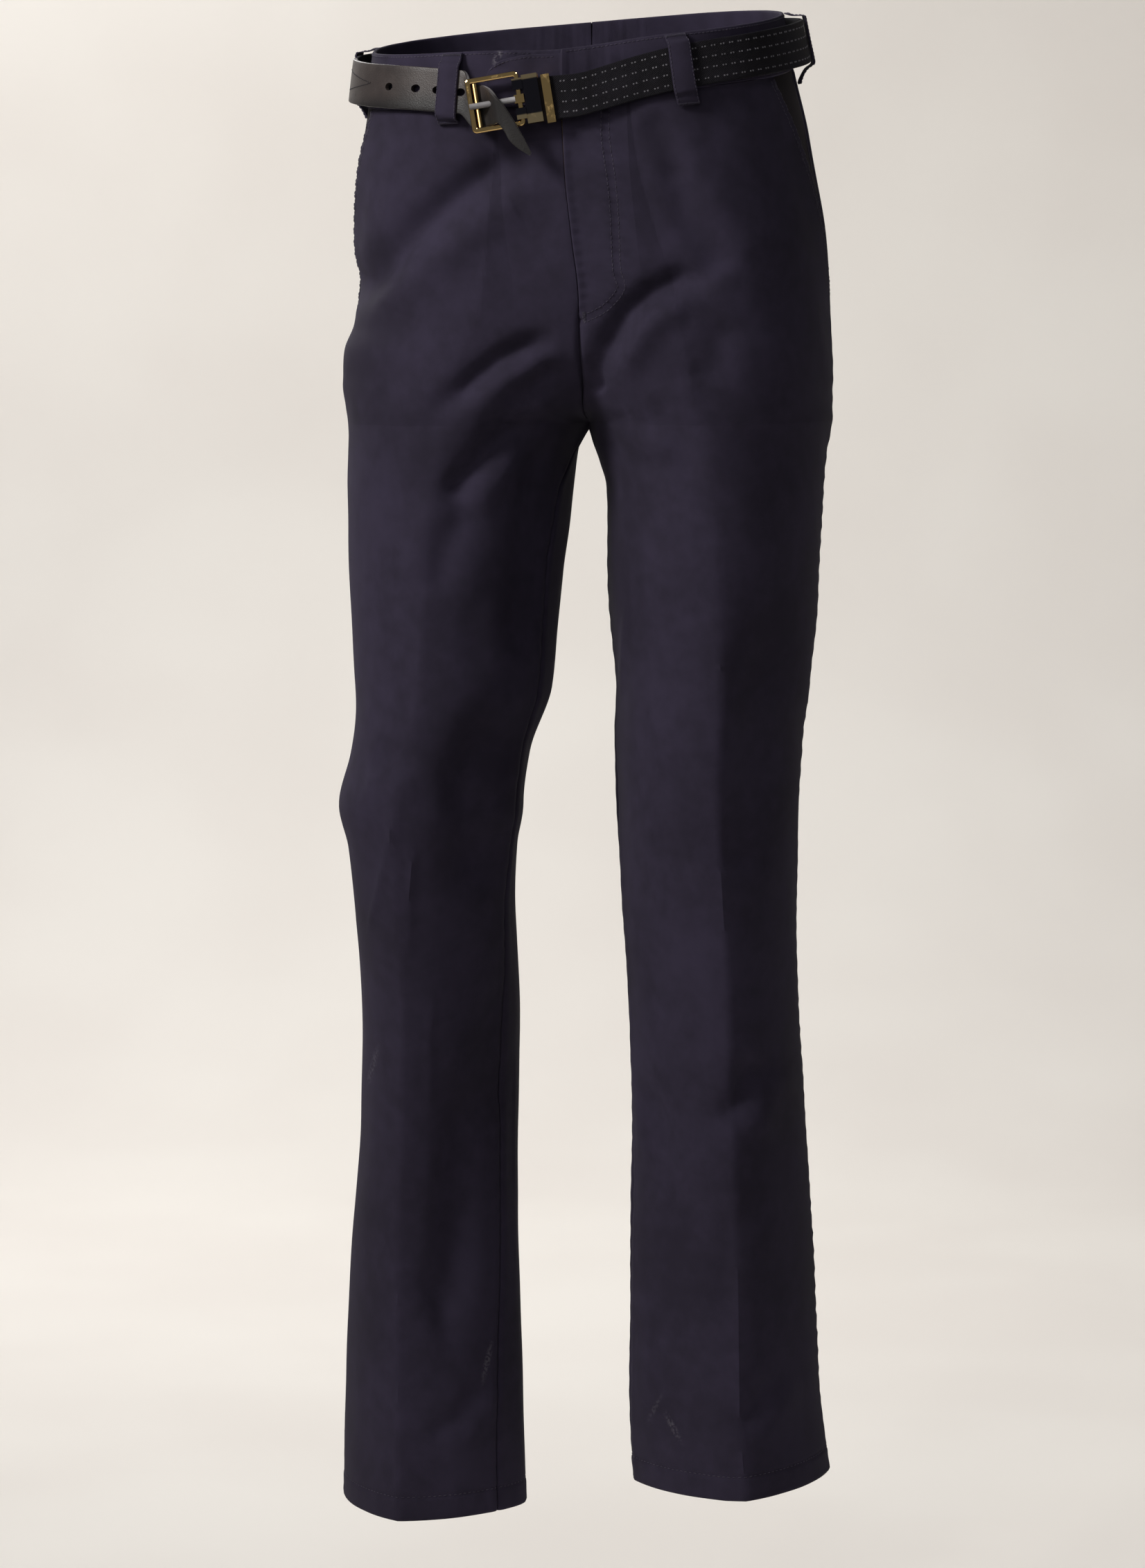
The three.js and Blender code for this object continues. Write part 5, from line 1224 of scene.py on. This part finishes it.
# %% Grey floats in the webbing
def pillow_field(title, centres, along_dir, across_dir, out_dir, length, width, height, material, slot):
    """Small raised pads, each on its own place and directions."""
    ring = np.array([[-1, -0.6], [-0.7, -1], [0.7, -1], [1, -0.6], [1, 0.6], [0.7, 1], [-0.7, 1], [-1, 0.6]])
    sides = len(ring)
    points, faces = [], []
    for k, (c, a, b, n) in enumerate(zip(centres, along_dir, across_dir, out_dir)):
        for scale, lift in ((1.0, -0.15), (0.92, height * 0.7), (0.6, height)):
            for s, t in ring * scale:
                points.append(c + a * s * length / 2 + b * t * width / 2 + n * lift)
        base = 3 * sides * k
        top = base + 2 * sides
        for j in range(sides):
            m = (j + 1) % sides
            for low in (base, base + sides):
                faces.append((low + j, low + m, low + sides + m, low + sides + j))
        faces += [tuple(top + j for j in range(sides)), tuple(base + sides - 1 - j for j in range(sides))]
    points = np.array(points) * MM
    mesh_piece(title, points, faces, material, points[:, [0, 2]], sharp=None)
    print(f"{title}: {len(centres)} pads")


def grid_at(face, normal, s, spacing, shares, share):
    """Point and directions on a strap's face at a length along it and a share across."""
    i = min(max(s / spacing, 0), face.shape[0] - 1.001)
    j = np.interp(share, shares, np.arange(len(shares)))
    i0, j0 = int(i), min(int(j), len(shares) - 2)
    a, b = i - i0, j - j0
    mix = lambda g: ((1 - a) * (1 - b) * g[i0, j0] + a * (1 - b) * g[i0 + 1, j0]
                     + (1 - a) * b * g[i0, j0 + 1] + a * b * g[i0 + 1, j0 + 1])
    n = mix(normal)
    n = n / np.linalg.norm(n)
    t = face[i0 + 1, j0] - face[i0, j0]
    t = t - n * np.dot(t, n)
    t = t / np.linalg.norm(t)
    return mix(face), t, np.cross(n, t), n


spacing = along[-1] / (len(along) - 1)
FLOAT_PITCH = 7.4
pads = [grid_at(WEB_FACE, WEB_OUT, s + d, spacing, WEB_SHARES, share)
        for s in np.arange(26, along[-1] - 6, FLOAT_PITCH) for share in (0.14, 0.38, 0.62, 0.86) for d in (-1.1, 1.1)]
pillow_field("webbing_floats", *(np.array(v) for v in zip(*pads)), 1.25, 1.15, 0.16, DOTS, "webbing")

# %% [markdown]
# ## Holes in the strap
# The leather's buckle holes and the long cut that the prong lies in are real cuts, made by a boolean with oval
# rods. The walls of the holes take the dark leather of the face as painted shade, and those of the prong's cut take the
# paler cut edge.

# %% Punch the strap
HOLE_ARCS, HOLE_HALF_WIDTH, HOLE_HALF_HEIGHT, HOLE_DROP = [1.47, 1.33, 1.23, 1.13], 3.9, 2.8, 15.5
PRONG_ROOT, PRONG_TIP, PRONG_CUT = [11.8, -0.5, 5.2], [-21.2, -0.5, 5.9], 2.1


def rod(start, end, up, half_width, half_height, sides=24):
    """Corner points and faces of an oval rod."""
    axis = (end - start) / np.linalg.norm(end - start)
    wide = np.cross(up, axis)
    wide /= np.linalg.norm(wide)
    up = np.cross(axis, wide)
    turn = np.linspace(0, 2 * math.pi, sides, endpoint=False)
    ring = wide * np.cos(turn)[:, None] * half_width + up * np.sin(turn)[:, None] * half_height
    faces = [(j, (j + 1) % sides, sides + (j + 1) % sides, sides + j) for j in range(sides)]
    faces += [tuple(range(sides))[::-1], tuple(range(sides, 2 * sides))]
    return np.concatenate([start + ring, end + ring]), faces


rods = []
for a in HOLE_ARCS:
    top = belt_top("right", np.array([a]))
    z = top - HOLE_DROP
    p, n = cloth_point("right", z, a, stand_off("right", np.array([a])))
    rods.append(rod(p[0] - 4 * n[0], p[0] + 9 * n[0], np.array([0, 0, 1.0]), HOLE_HALF_WIDTH, HOLE_HALF_HEIGHT))
rods.append(rod(on_buckle(PRONG_ROOT), on_buckle(PRONG_TIP), w_axis, PRONG_CUT, PRONG_CUT, 16))
points, faces = [], []
for p, f in rods:
    base = sum(len(q) for q in points)
    points.append(p)
    faces += [tuple(base + k for k in face) for face in f]
cutter_mesh = bpy.data.meshes.new("punch")
cutter_mesh.from_pydata((np.concatenate(points) * MM).tolist(), [], faces)
# the holes' walls get the dark face leather as painted shade; the prong's cut gets the pale cut edge
for material in (LEATHER, LEATHER_EDGE):
    cutter_mesh.materials.append(material)
cutter_mesh.polygons.foreach_set("material_index", (np.arange(len(faces)) >= len(faces) - 18).astype(np.int32))
cutter = add_object("punch", cutter_mesh)
cut = LEATHER_STRAP.modifiers.new("holes", "BOOLEAN")
cut.operation, cut.solver, cut.object = "DIFFERENCE", "EXACT", cutter
depsgraph = bpy.context.evaluated_depsgraph_get()
punched = bpy.data.meshes.new_from_object(LEATHER_STRAP.evaluated_get(depsgraph))
before = len(LEATHER_STRAP.data.polygons)
LEATHER_STRAP.modifiers.clear()
LEATHER_STRAP.data = punched
punched.name = "leather_strap_punched"
bpy.data.objects.remove(cutter)
punched.shade_smooth()
punched.set_sharp_from_angle(angle=SHARP_ANGLE)
print("strap faces", before, "->", len(punched.polygons))

# %% [markdown]
# ## Buckle metal
# The buckle's solids already have the right shape, so they stay. A small bevel rounds their edges, which is
# what catches the light on plated metal, and each gets one of the two polished finishes, the clamp's with a
# painted dark reflection.

# %% The clamp's pale gold ends round a middle painted dark as its reflection
def clamp_with_painted_reflection(name, dark, gold, low, high, edge):
    """Gold above and below a middle painted dark as a reflection, measured up the buckle's own v direction in metres.
    """
    material, tree, shader, where = new_material(name)
    height = tree.nodes.new("ShaderNodeVectorMath")
    height.operation = "DOT_PRODUCT"
    height.inputs[1].default_value = tuple(v_axis)
    tree.links.new(where, height.inputs[0])
    foot = float(np.dot(origin, v_axis)) * MM
    above = ramp(tree, height.outputs["Value"], foot + high - edge, foot + high)
    below = ramp(tree, height.outputs["Value"], foot + low, foot + low + edge, 1.0, 0.0)
    ends = maths(tree, "MAXIMUM", above, below)
    skin = place(tree, "pebbled_grain", where, Pebbles=260.0)
    finish(tree, shader, blend(tree, ends, dark, gold), ramp(tree, skin.outputs["Scuff"], 0.0, 1.0, 0.07, 0.15),
           bump(tree, skin.outputs["Scuff"], 0.00002), Metallic=1.0)
    return material


# painted reflection: the clamp's middle is coloured dark for the dark room it mirrors; its ends are pale gold
CLAMP_PAINTED_REFLECTION = clamp_with_painted_reflection("gold_clamp_painted_dark_reflection", linear(70, 68, 76), linear(248, 222, 172), -0.0125, 0.0135, 0.0012)

# %% Finish the buckle
METALS = {"buckle_frame": GILT, "buckle_bar": GILT, "buckle_prong": GILT, "buckle_end_bar": GILT,
          "buckle_clamp": CLAMP_PAINTED_REFLECTION}
for node, metal in METALS.items():
    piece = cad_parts[node]
    piece.data.materials.clear()
    piece.data.materials.append(metal)
    rounding = piece.modifiers.new("rounded_edges", "BEVEL")
    rounding.width, rounding.segments, rounding.limit_method = 0.0008, 4, "ANGLE"
    rounding.angle_limit, rounding.harden_normals = math.radians(35), True
    piece.data.shade_smooth()
    print(node, "finished")

# %% [markdown]
# ## Sewing
# Each visible stitch is a small raised pad of thread lying in the cloth: the fly's double curve, the pockets'
# double edge, hems, band and tab edges, loops, bar tacks and the strap's pointed seam. A bump map could draw
# them, but pads catch the light. Rays find the cloth under every stitch.

# %% Lay stitches on a piece
THREAD_WIDTH, THREAD_HEIGHT = 0.62, 0.34
depsgraph = bpy.context.evaluated_depsgraph_get()
TREES = {}


def tree_of(piece):
    if piece.name not in TREES:
        TREES[piece.name] = BVHTree.FromObject(piece, depsgraph)
    return TREES[piece.name]


def lay(pieces, points, normals, length, gap, turned=False):
    """Places and directions of stitches along a line of points just off the pieces."""
    run = np.concatenate([[0], np.cumsum(np.linalg.norm(np.diff(points, axis=0), axis=1))])
    found = []
    for k, s in enumerate(np.arange(length / 2, run[-1] - length / 2, length + gap)):
        ahead = min(run[-1], s + 1)
        p, q, n = (np.array([np.interp(at, run, g[:, c]) for c in range(3)])
                   for at, g in ((s, points), (ahead, points), (s, normals)))
        n /= np.linalg.norm(n)
        best = None
        for piece in pieces:
            hit, face_normal, _, far = tree_of(piece).ray_cast(Vector((p + 9 * n) * MM), Vector(-n), 18 * MM)
            if hit is not None and (best is None or far < best[2]):
                best = (np.array(hit) / MM, np.array(face_normal), far)
        if best is None:
            continue
        centre, out, _ = best
        t = q - p
        t -= out * np.dot(t, out)
        t /= np.linalg.norm(t)
        b = np.cross(out, t)
        t = t + 0.14 * b * math.sin(2.4 * k + 0.7 * math.sin(1.1 * k))
        t /= np.linalg.norm(t)
        b = np.cross(out, t)
        found.append((centre, b, -t, out) if turned else (centre, t, b, out))
    return found


def sew(title, stitches, length, material=TWILL_THREAD, slot="twill", width=THREAD_WIDTH):
    pillow_field(title, *(np.array(v) for v in zip(*stitches)), length, width, THREAD_HEIGHT, material, slot)


def arc_at_x(name, z, x):
    arcs = np.linspace(0, 1.6, 161)
    grid = cloth(name, z, np.broadcast_to(arcs, (len(z), len(arcs))), fine=False)[..., 0] * SIDES[name]
    return np.array([np.interp(v * SIDES[name], row, arcs) for v, row in zip(x, grid)])


# %% Fly, pockets and hems
STITCH, GAP = 2.3, 0.9


def lay_on(panels, name, z, arc, out=0.0, length=STITCH, gap=GAP, turned=False):
    """Stitches on panels, along a line given by its heights and arcs on one half of the form."""
    return lay([PANELS[panel] for panel in panels], *cloth_point(name, z, arc, out), length, gap, turned)


sewn = {name: [] for name in SIDES}
steps = np.linspace(0, len(FLY_STITCH) - 1, 90)
curve = eased(np.array(FLY_STITCH, float), steps)
side_step = np.gradient(curve, axis=0)
side_step = np.stack([-side_step[:, 1], side_step[:, 0]], 1) / np.linalg.norm(side_step, axis=1, keepdims=True)
for offset in (-2.85, 2.85):
    x, z = (curve + offset * side_step).T
    keep = x > 9
    sewn["left"] += lay_on(["front_left"], "left", z[keep], arc_at_x("left", z[keep], x[keep]))
for name in SIDES:
    z = np.linspace(-BAND_HEIGHT - 3, POCKET_BOTTOM + 3, 90)
    quarter = ovals(name, z)[1][:, 1, -1]
    for inset in (1.7, 7.2):
        sewn[name] += lay_on(["front_" + name], name, z, pocket_arc(z) - inset / quarter, 1.5)
    seam = float(inseam_arc(name, np.array([HEM_Z[name] + HEM_HEIGHT]))[0])
    arcs = np.linspace(seam + 0.01, seam + 3.99, 420)
    sewn[name] += lay_on(["front_" + name, "back_" + name], name, np.full(420, HEM_Z[name] + HEM_HEIGHT - 2.0), arcs,
                         length=STITCH + 0.5, gap=GAP + 0.3)
    sew("panel_stitches_" + name, sewn[name], STITCH)

# %% Bar tacks
def tack(name, high, arc_of, out):
    """One bar tack on a front, from a height down, at the arc that arc_of gives for each height."""
    z = np.linspace(high, high - TACK_LENGTH, 12)
    return lay_on(["front_" + name], name, z, arc_of(z), out, 0.3, 0.32, turned=True)


TACK_LENGTH, TACK_INSET = 8, 3.0
fly_arc = arc_at_x("left", np.array([-202.0]), np.array([16.0]))[0]
tacks = tack("left", -198, lambda z: np.full(len(z), fly_arc), 0.0)
for name in SIDES:
    for high in (-BAND_HEIGHT - 2, POCKET_BOTTOM + 9):
        tacks += tack(name, high, lambda z: pocket_arc(z) - TACK_INSET / ovals(name, z)[1][:, 1, -1], 1.0)
sew("bar_tacks", tacks, 3.0, width=0.4)

# %% Band, tab and loops
TAB_STITCH_INSET = 2.4
edge_run = {name: [] for name in SIDES}
for name in SIDES:
    for height in (-2.2, -BAND_HEIGHT + 2.0):
        arcs = np.linspace(0.05 if name == "left" else 0.5, 3.98, 520)
        edge_run[name] += lay_on(["band_" + name], name, np.full(520, height), arcs, 1.0)
along = np.linspace(TAB_LENGTH - 2.6, 3, 60)
middle, half, round_off = tab_outline(along)
for sign in (1, -1):
    edge_run["left"] += lay_on(["band_left"], "right", middle + sign * (half - TAB_STITCH_INSET) * round_off,
                               arc_from_fly("right", along), 5)
for name in SIDES:
    sew("band_stitches_" + name, edge_run[name], STITCH)

loop_run, loop_tacks = [], []
for title, grid in LOOP_LINES.items():
    normals = strip_normals(grid)
    if np.dot(normals[20, 8], grid[20, 8] * [1, 1, 0] - [0, 10, 0]) < 0:
        normals = -normals
    piece = bpy.data.objects[title]
    for column in (4, grid.shape[1] - 5):
        loop_run += lay([piece], grid[2:-2, column], normals[2:-2, column], 2.0, 0.8)
    for row in (3, grid.shape[0] - 4):
        loop_tacks += lay([piece], grid[row, 3:-3], normals[row, 3:-3], 0.3, 0.35, turned=True)
sew("loop_stitches", loop_run, 2.0)
sew("loop_tacks", loop_tacks, 1.8, width=0.4)

# %% The strap's pointed seam
POINTED = np.array([[1.885, -15], [1.70, -19], [1.62, -21], [1.60, -21.8], [1.62, -22.6], [1.70, -25], [1.885, -30]])
seam = eased(POINTED, np.linspace(0, len(POINTED) - 1, 60))
points, normals = cloth_point("right", seam[:, 1], seam[:, 0], stand_off("right", seam[:, 0]) + LEATHER_THICKNESS)
sew("strap_seam", lay([LEATHER_STRAP], points, normals, 2.4, 1.0), 2.4, LEATHER_THREAD, "leather", 0.7)

# %% [markdown]
# ## The zip behind the fly
# The fly is closed, so only a look into the waist shows the zip: a narrow tape behind the left front's edge and
# its two rows of metal teeth. The teeth are the same small pads as the stitches.

# %% Zip tape and teeth
z = np.arange(-BAND_HEIGHT - 4, FLY_BOTTOM + 8, -3.0)
arcs = np.broadcast_to(np.linspace(0.02, 0.24, 9), (len(z), 9))
tape = cloth("left", z, arcs, fine=False)
normal = grid_normals(tape, "left")
PANELS["zip_tape"] = shell("fly_zip_tape", tape - normal * 2.2, tape - normal * 2.7, POCKET_TWILL)
teeth = []
for share in (0.03, 0.075):
    level_z = np.arange(-BAND_HEIGHT - 6, FLY_BOTTOM + 12, -1.6)
    points, normals = cloth_point("left", level_z, np.full(len(level_z), share), -1.95)
    up = np.gradient(points, axis=0)
    up /= np.linalg.norm(up, axis=1, keepdims=True)
    teeth += list(zip(points, np.cross(normals, up), up, normals))
pillow_field("fly_zip_teeth", *(np.array(v) for v in zip(*teeth)), 2.6, 0.9, 0.3, GILT, "gilt")

# %% [markdown]
# ## The cut size of each piece of cloth, not taken here
# Every cloth piece was flat before it was sewn, and sewing and pressing hardly stretch a twill. The two loops
# below do nothing.


for name in SIDES:
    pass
for name in SIDES:
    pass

# %% [markdown]
# ## Stage, lights and camera
# The photograph was taken in front of a pale, warm wall with one large soft light from the left and front. A
# curved sheet of paper does for floor and wall together, so that from the photograph's side no line crosses behind
# the legs. It stays well below the hems, which hang free. The wall is far behind, so that the other views, with
# the camera behind the trousers, look past it, and the room shows as pale as the wall while it adds only a little
# light.

# %% Pale paper sweep
FLOOR_Z = -1.45


def paper_sweep():
    depth, radius, height, width = 4.6, 1.6, 6.0, 9.0
    profile = [(-5.0, FLOOR_Z)]
    for k in range(25):
        angle = math.pi / 2 * k / 24
        profile.append((depth - radius + radius * math.sin(angle), FLOOR_Z + radius - radius * math.cos(angle)))
    profile.append((depth, FLOOR_Z + height))
    points, faces = [], []
    for y, z in profile:
        points += [(-width, y, z), (width, y, z)]
    for k in range(len(profile) - 1):
        faces.append((2 * k, 2 * k + 1, 2 * k + 3, 2 * k + 2))
    mesh = bpy.data.meshes.new("paper_sweep")
    mesh.from_pydata(points, [], faces)
    mesh.shade_smooth()
    material, tree, shader, where = new_material("pale_warm_paper")
    tone = ramp(tree, noise(tree, where, 2.0), 0.3, 0.7)
    tree.links.new(blend(tree, tone, linear(236, 231, 225), linear(241, 237, 231)), shader.inputs["Base Color"])
    set_inputs(shader, Roughness=0.9, Specular_IOR_Level=0.1, Emission_Color=linear(238, 232, 226),
               Emission_Strength=0.05)
    mesh.materials.append(material)
    sheet = add_object("paper_sweep", mesh)
    sheet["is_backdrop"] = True


paper_sweep()


# %% Soft lights
def aim(thing, place_at, target):
    """Stand a light or a camera somewhere, turned to a target."""
    thing.location = place_at
    thing.rotation_mode = "QUATERNION"
    thing.rotation_quaternion = (Vector(target) - Vector(place_at)).to_track_quat("-Z", "Y")


BUCKLE_PLACE = (-0.04, -0.13, -0.04)
# name, place, target, width and height in metres, watts, colour and the beam's spread in degrees
LIGHTS = [
    ("key_left_front", (-2.15, -1.85, 1.6), (0, 0, 0.28), (0.75, 0.95), 29, (1.0, 0.985, 0.96), 90),
    ("fill_front", (0.4, -3.0, 1.2), (0.05, -0.1, -0.1), (1.2, 1.0), 5, (0.96, 0.97, 1.0), 180),
    ("wall_wash", (-2.4, 2.3, 1.5), (0.2, 4.6, 0.8), (1.8, 1.2), 74, (1.0, 0.985, 0.97), 180),
    ("back_soft", (-1.5, 2.9, 1.5), (0, 0, -0.5), (1.2, 1.2), 45, (1.0, 0.99, 0.98), 180),
    ("glint_strip", (-0.75, -2.9, 0.8), BUCKLE_PLACE, (0.1, 1.5), 8, (1.0, 0.97, 0.92), 180),
    ("glint_side", (-1.75, -2.35, 0.0), BUCKLE_PLACE, (0.35, 1.2), 3.5, (1.0, 0.96, 0.9), 180),
    ("glint_top", (0.35, -2.3, 1.9), BUCKLE_PLACE, (1.5, 0.12), 8, (1.0, 0.97, 0.92), 180)]
for name, place_at, target, size, power, color, beam in LIGHTS:
    light = bpy.data.lights.new(name, "AREA")
    light.shape, light.size, light.size_y = "RECTANGLE", *size
    light.energy, light.color, light.spread = power, color, math.radians(beam)
    lamp = add_object(name, light)
    aim(lamp, place_at, target)
    lamp.visible_camera, lamp.visible_glossy = False, name != "fill_front"
world = bpy.data.worlds.new("soft_room")
world.use_nodes = True
tree = world.node_tree
light = tree.nodes["Background"]
light.inputs["Color"].default_value, light.inputs["Strength"].default_value = (0.93, 0.95, 1.0, 1.0), 0.1
seen = tree.nodes.new("ShaderNodeBackground")
seen.inputs["Color"].default_value = linear(236, 230, 224)
path, mix = tree.nodes.new("ShaderNodeLightPath"), tree.nodes.new("ShaderNodeMixShader")
for socket, output in zip(mix.inputs, (path.outputs["Is Camera Ray"], light.outputs[0], seen.outputs[0])):
    tree.links.new(output, socket)
tree.links.new(mix.outputs[0], tree.nodes["World Output"].inputs["Surface"])
bpy.context.scene.world = world
bpy.context.scene.view_settings.view_transform = "Standard"

# %% Camera at the photograph's angle
AZIMUTH, CAMERA_DISTANCE, CAMERA_Z, LOOK_Z, SHIFT = math.radians(6), 3.5, -0.208, -0.553, -0.004
LENS_MM, SENSOR_MM = 72.47, 24.0
sine, cosine = math.sin(AZIMUTH), math.cos(AZIMUTH)
shift_left = Vector((cosine, sine, 0)) * SHIFT
eye = Vector((CAMERA_DISTANCE * sine, -CAMERA_DISTANCE * cosine, CAMERA_Z)) + shift_left
look = Vector((0, 0, LOOK_Z)) + shift_left
lens = bpy.data.cameras.new("photo_view")
lens.sensor_fit, lens.sensor_height, lens.lens = "VERTICAL", SENSOR_MM, LENS_MM
lens.clip_start, lens.clip_end = 0.05, 30
camera = add_object("photo_view", lens)
aim(camera, eye, look)
bpy.context.scene.camera = camera
print("camera distance", round((look - eye).length, 3), "m")

# %% Sizes and the end of the build
low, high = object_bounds()
print("visual box", [round(v, 3) for v in (*low, *high)])
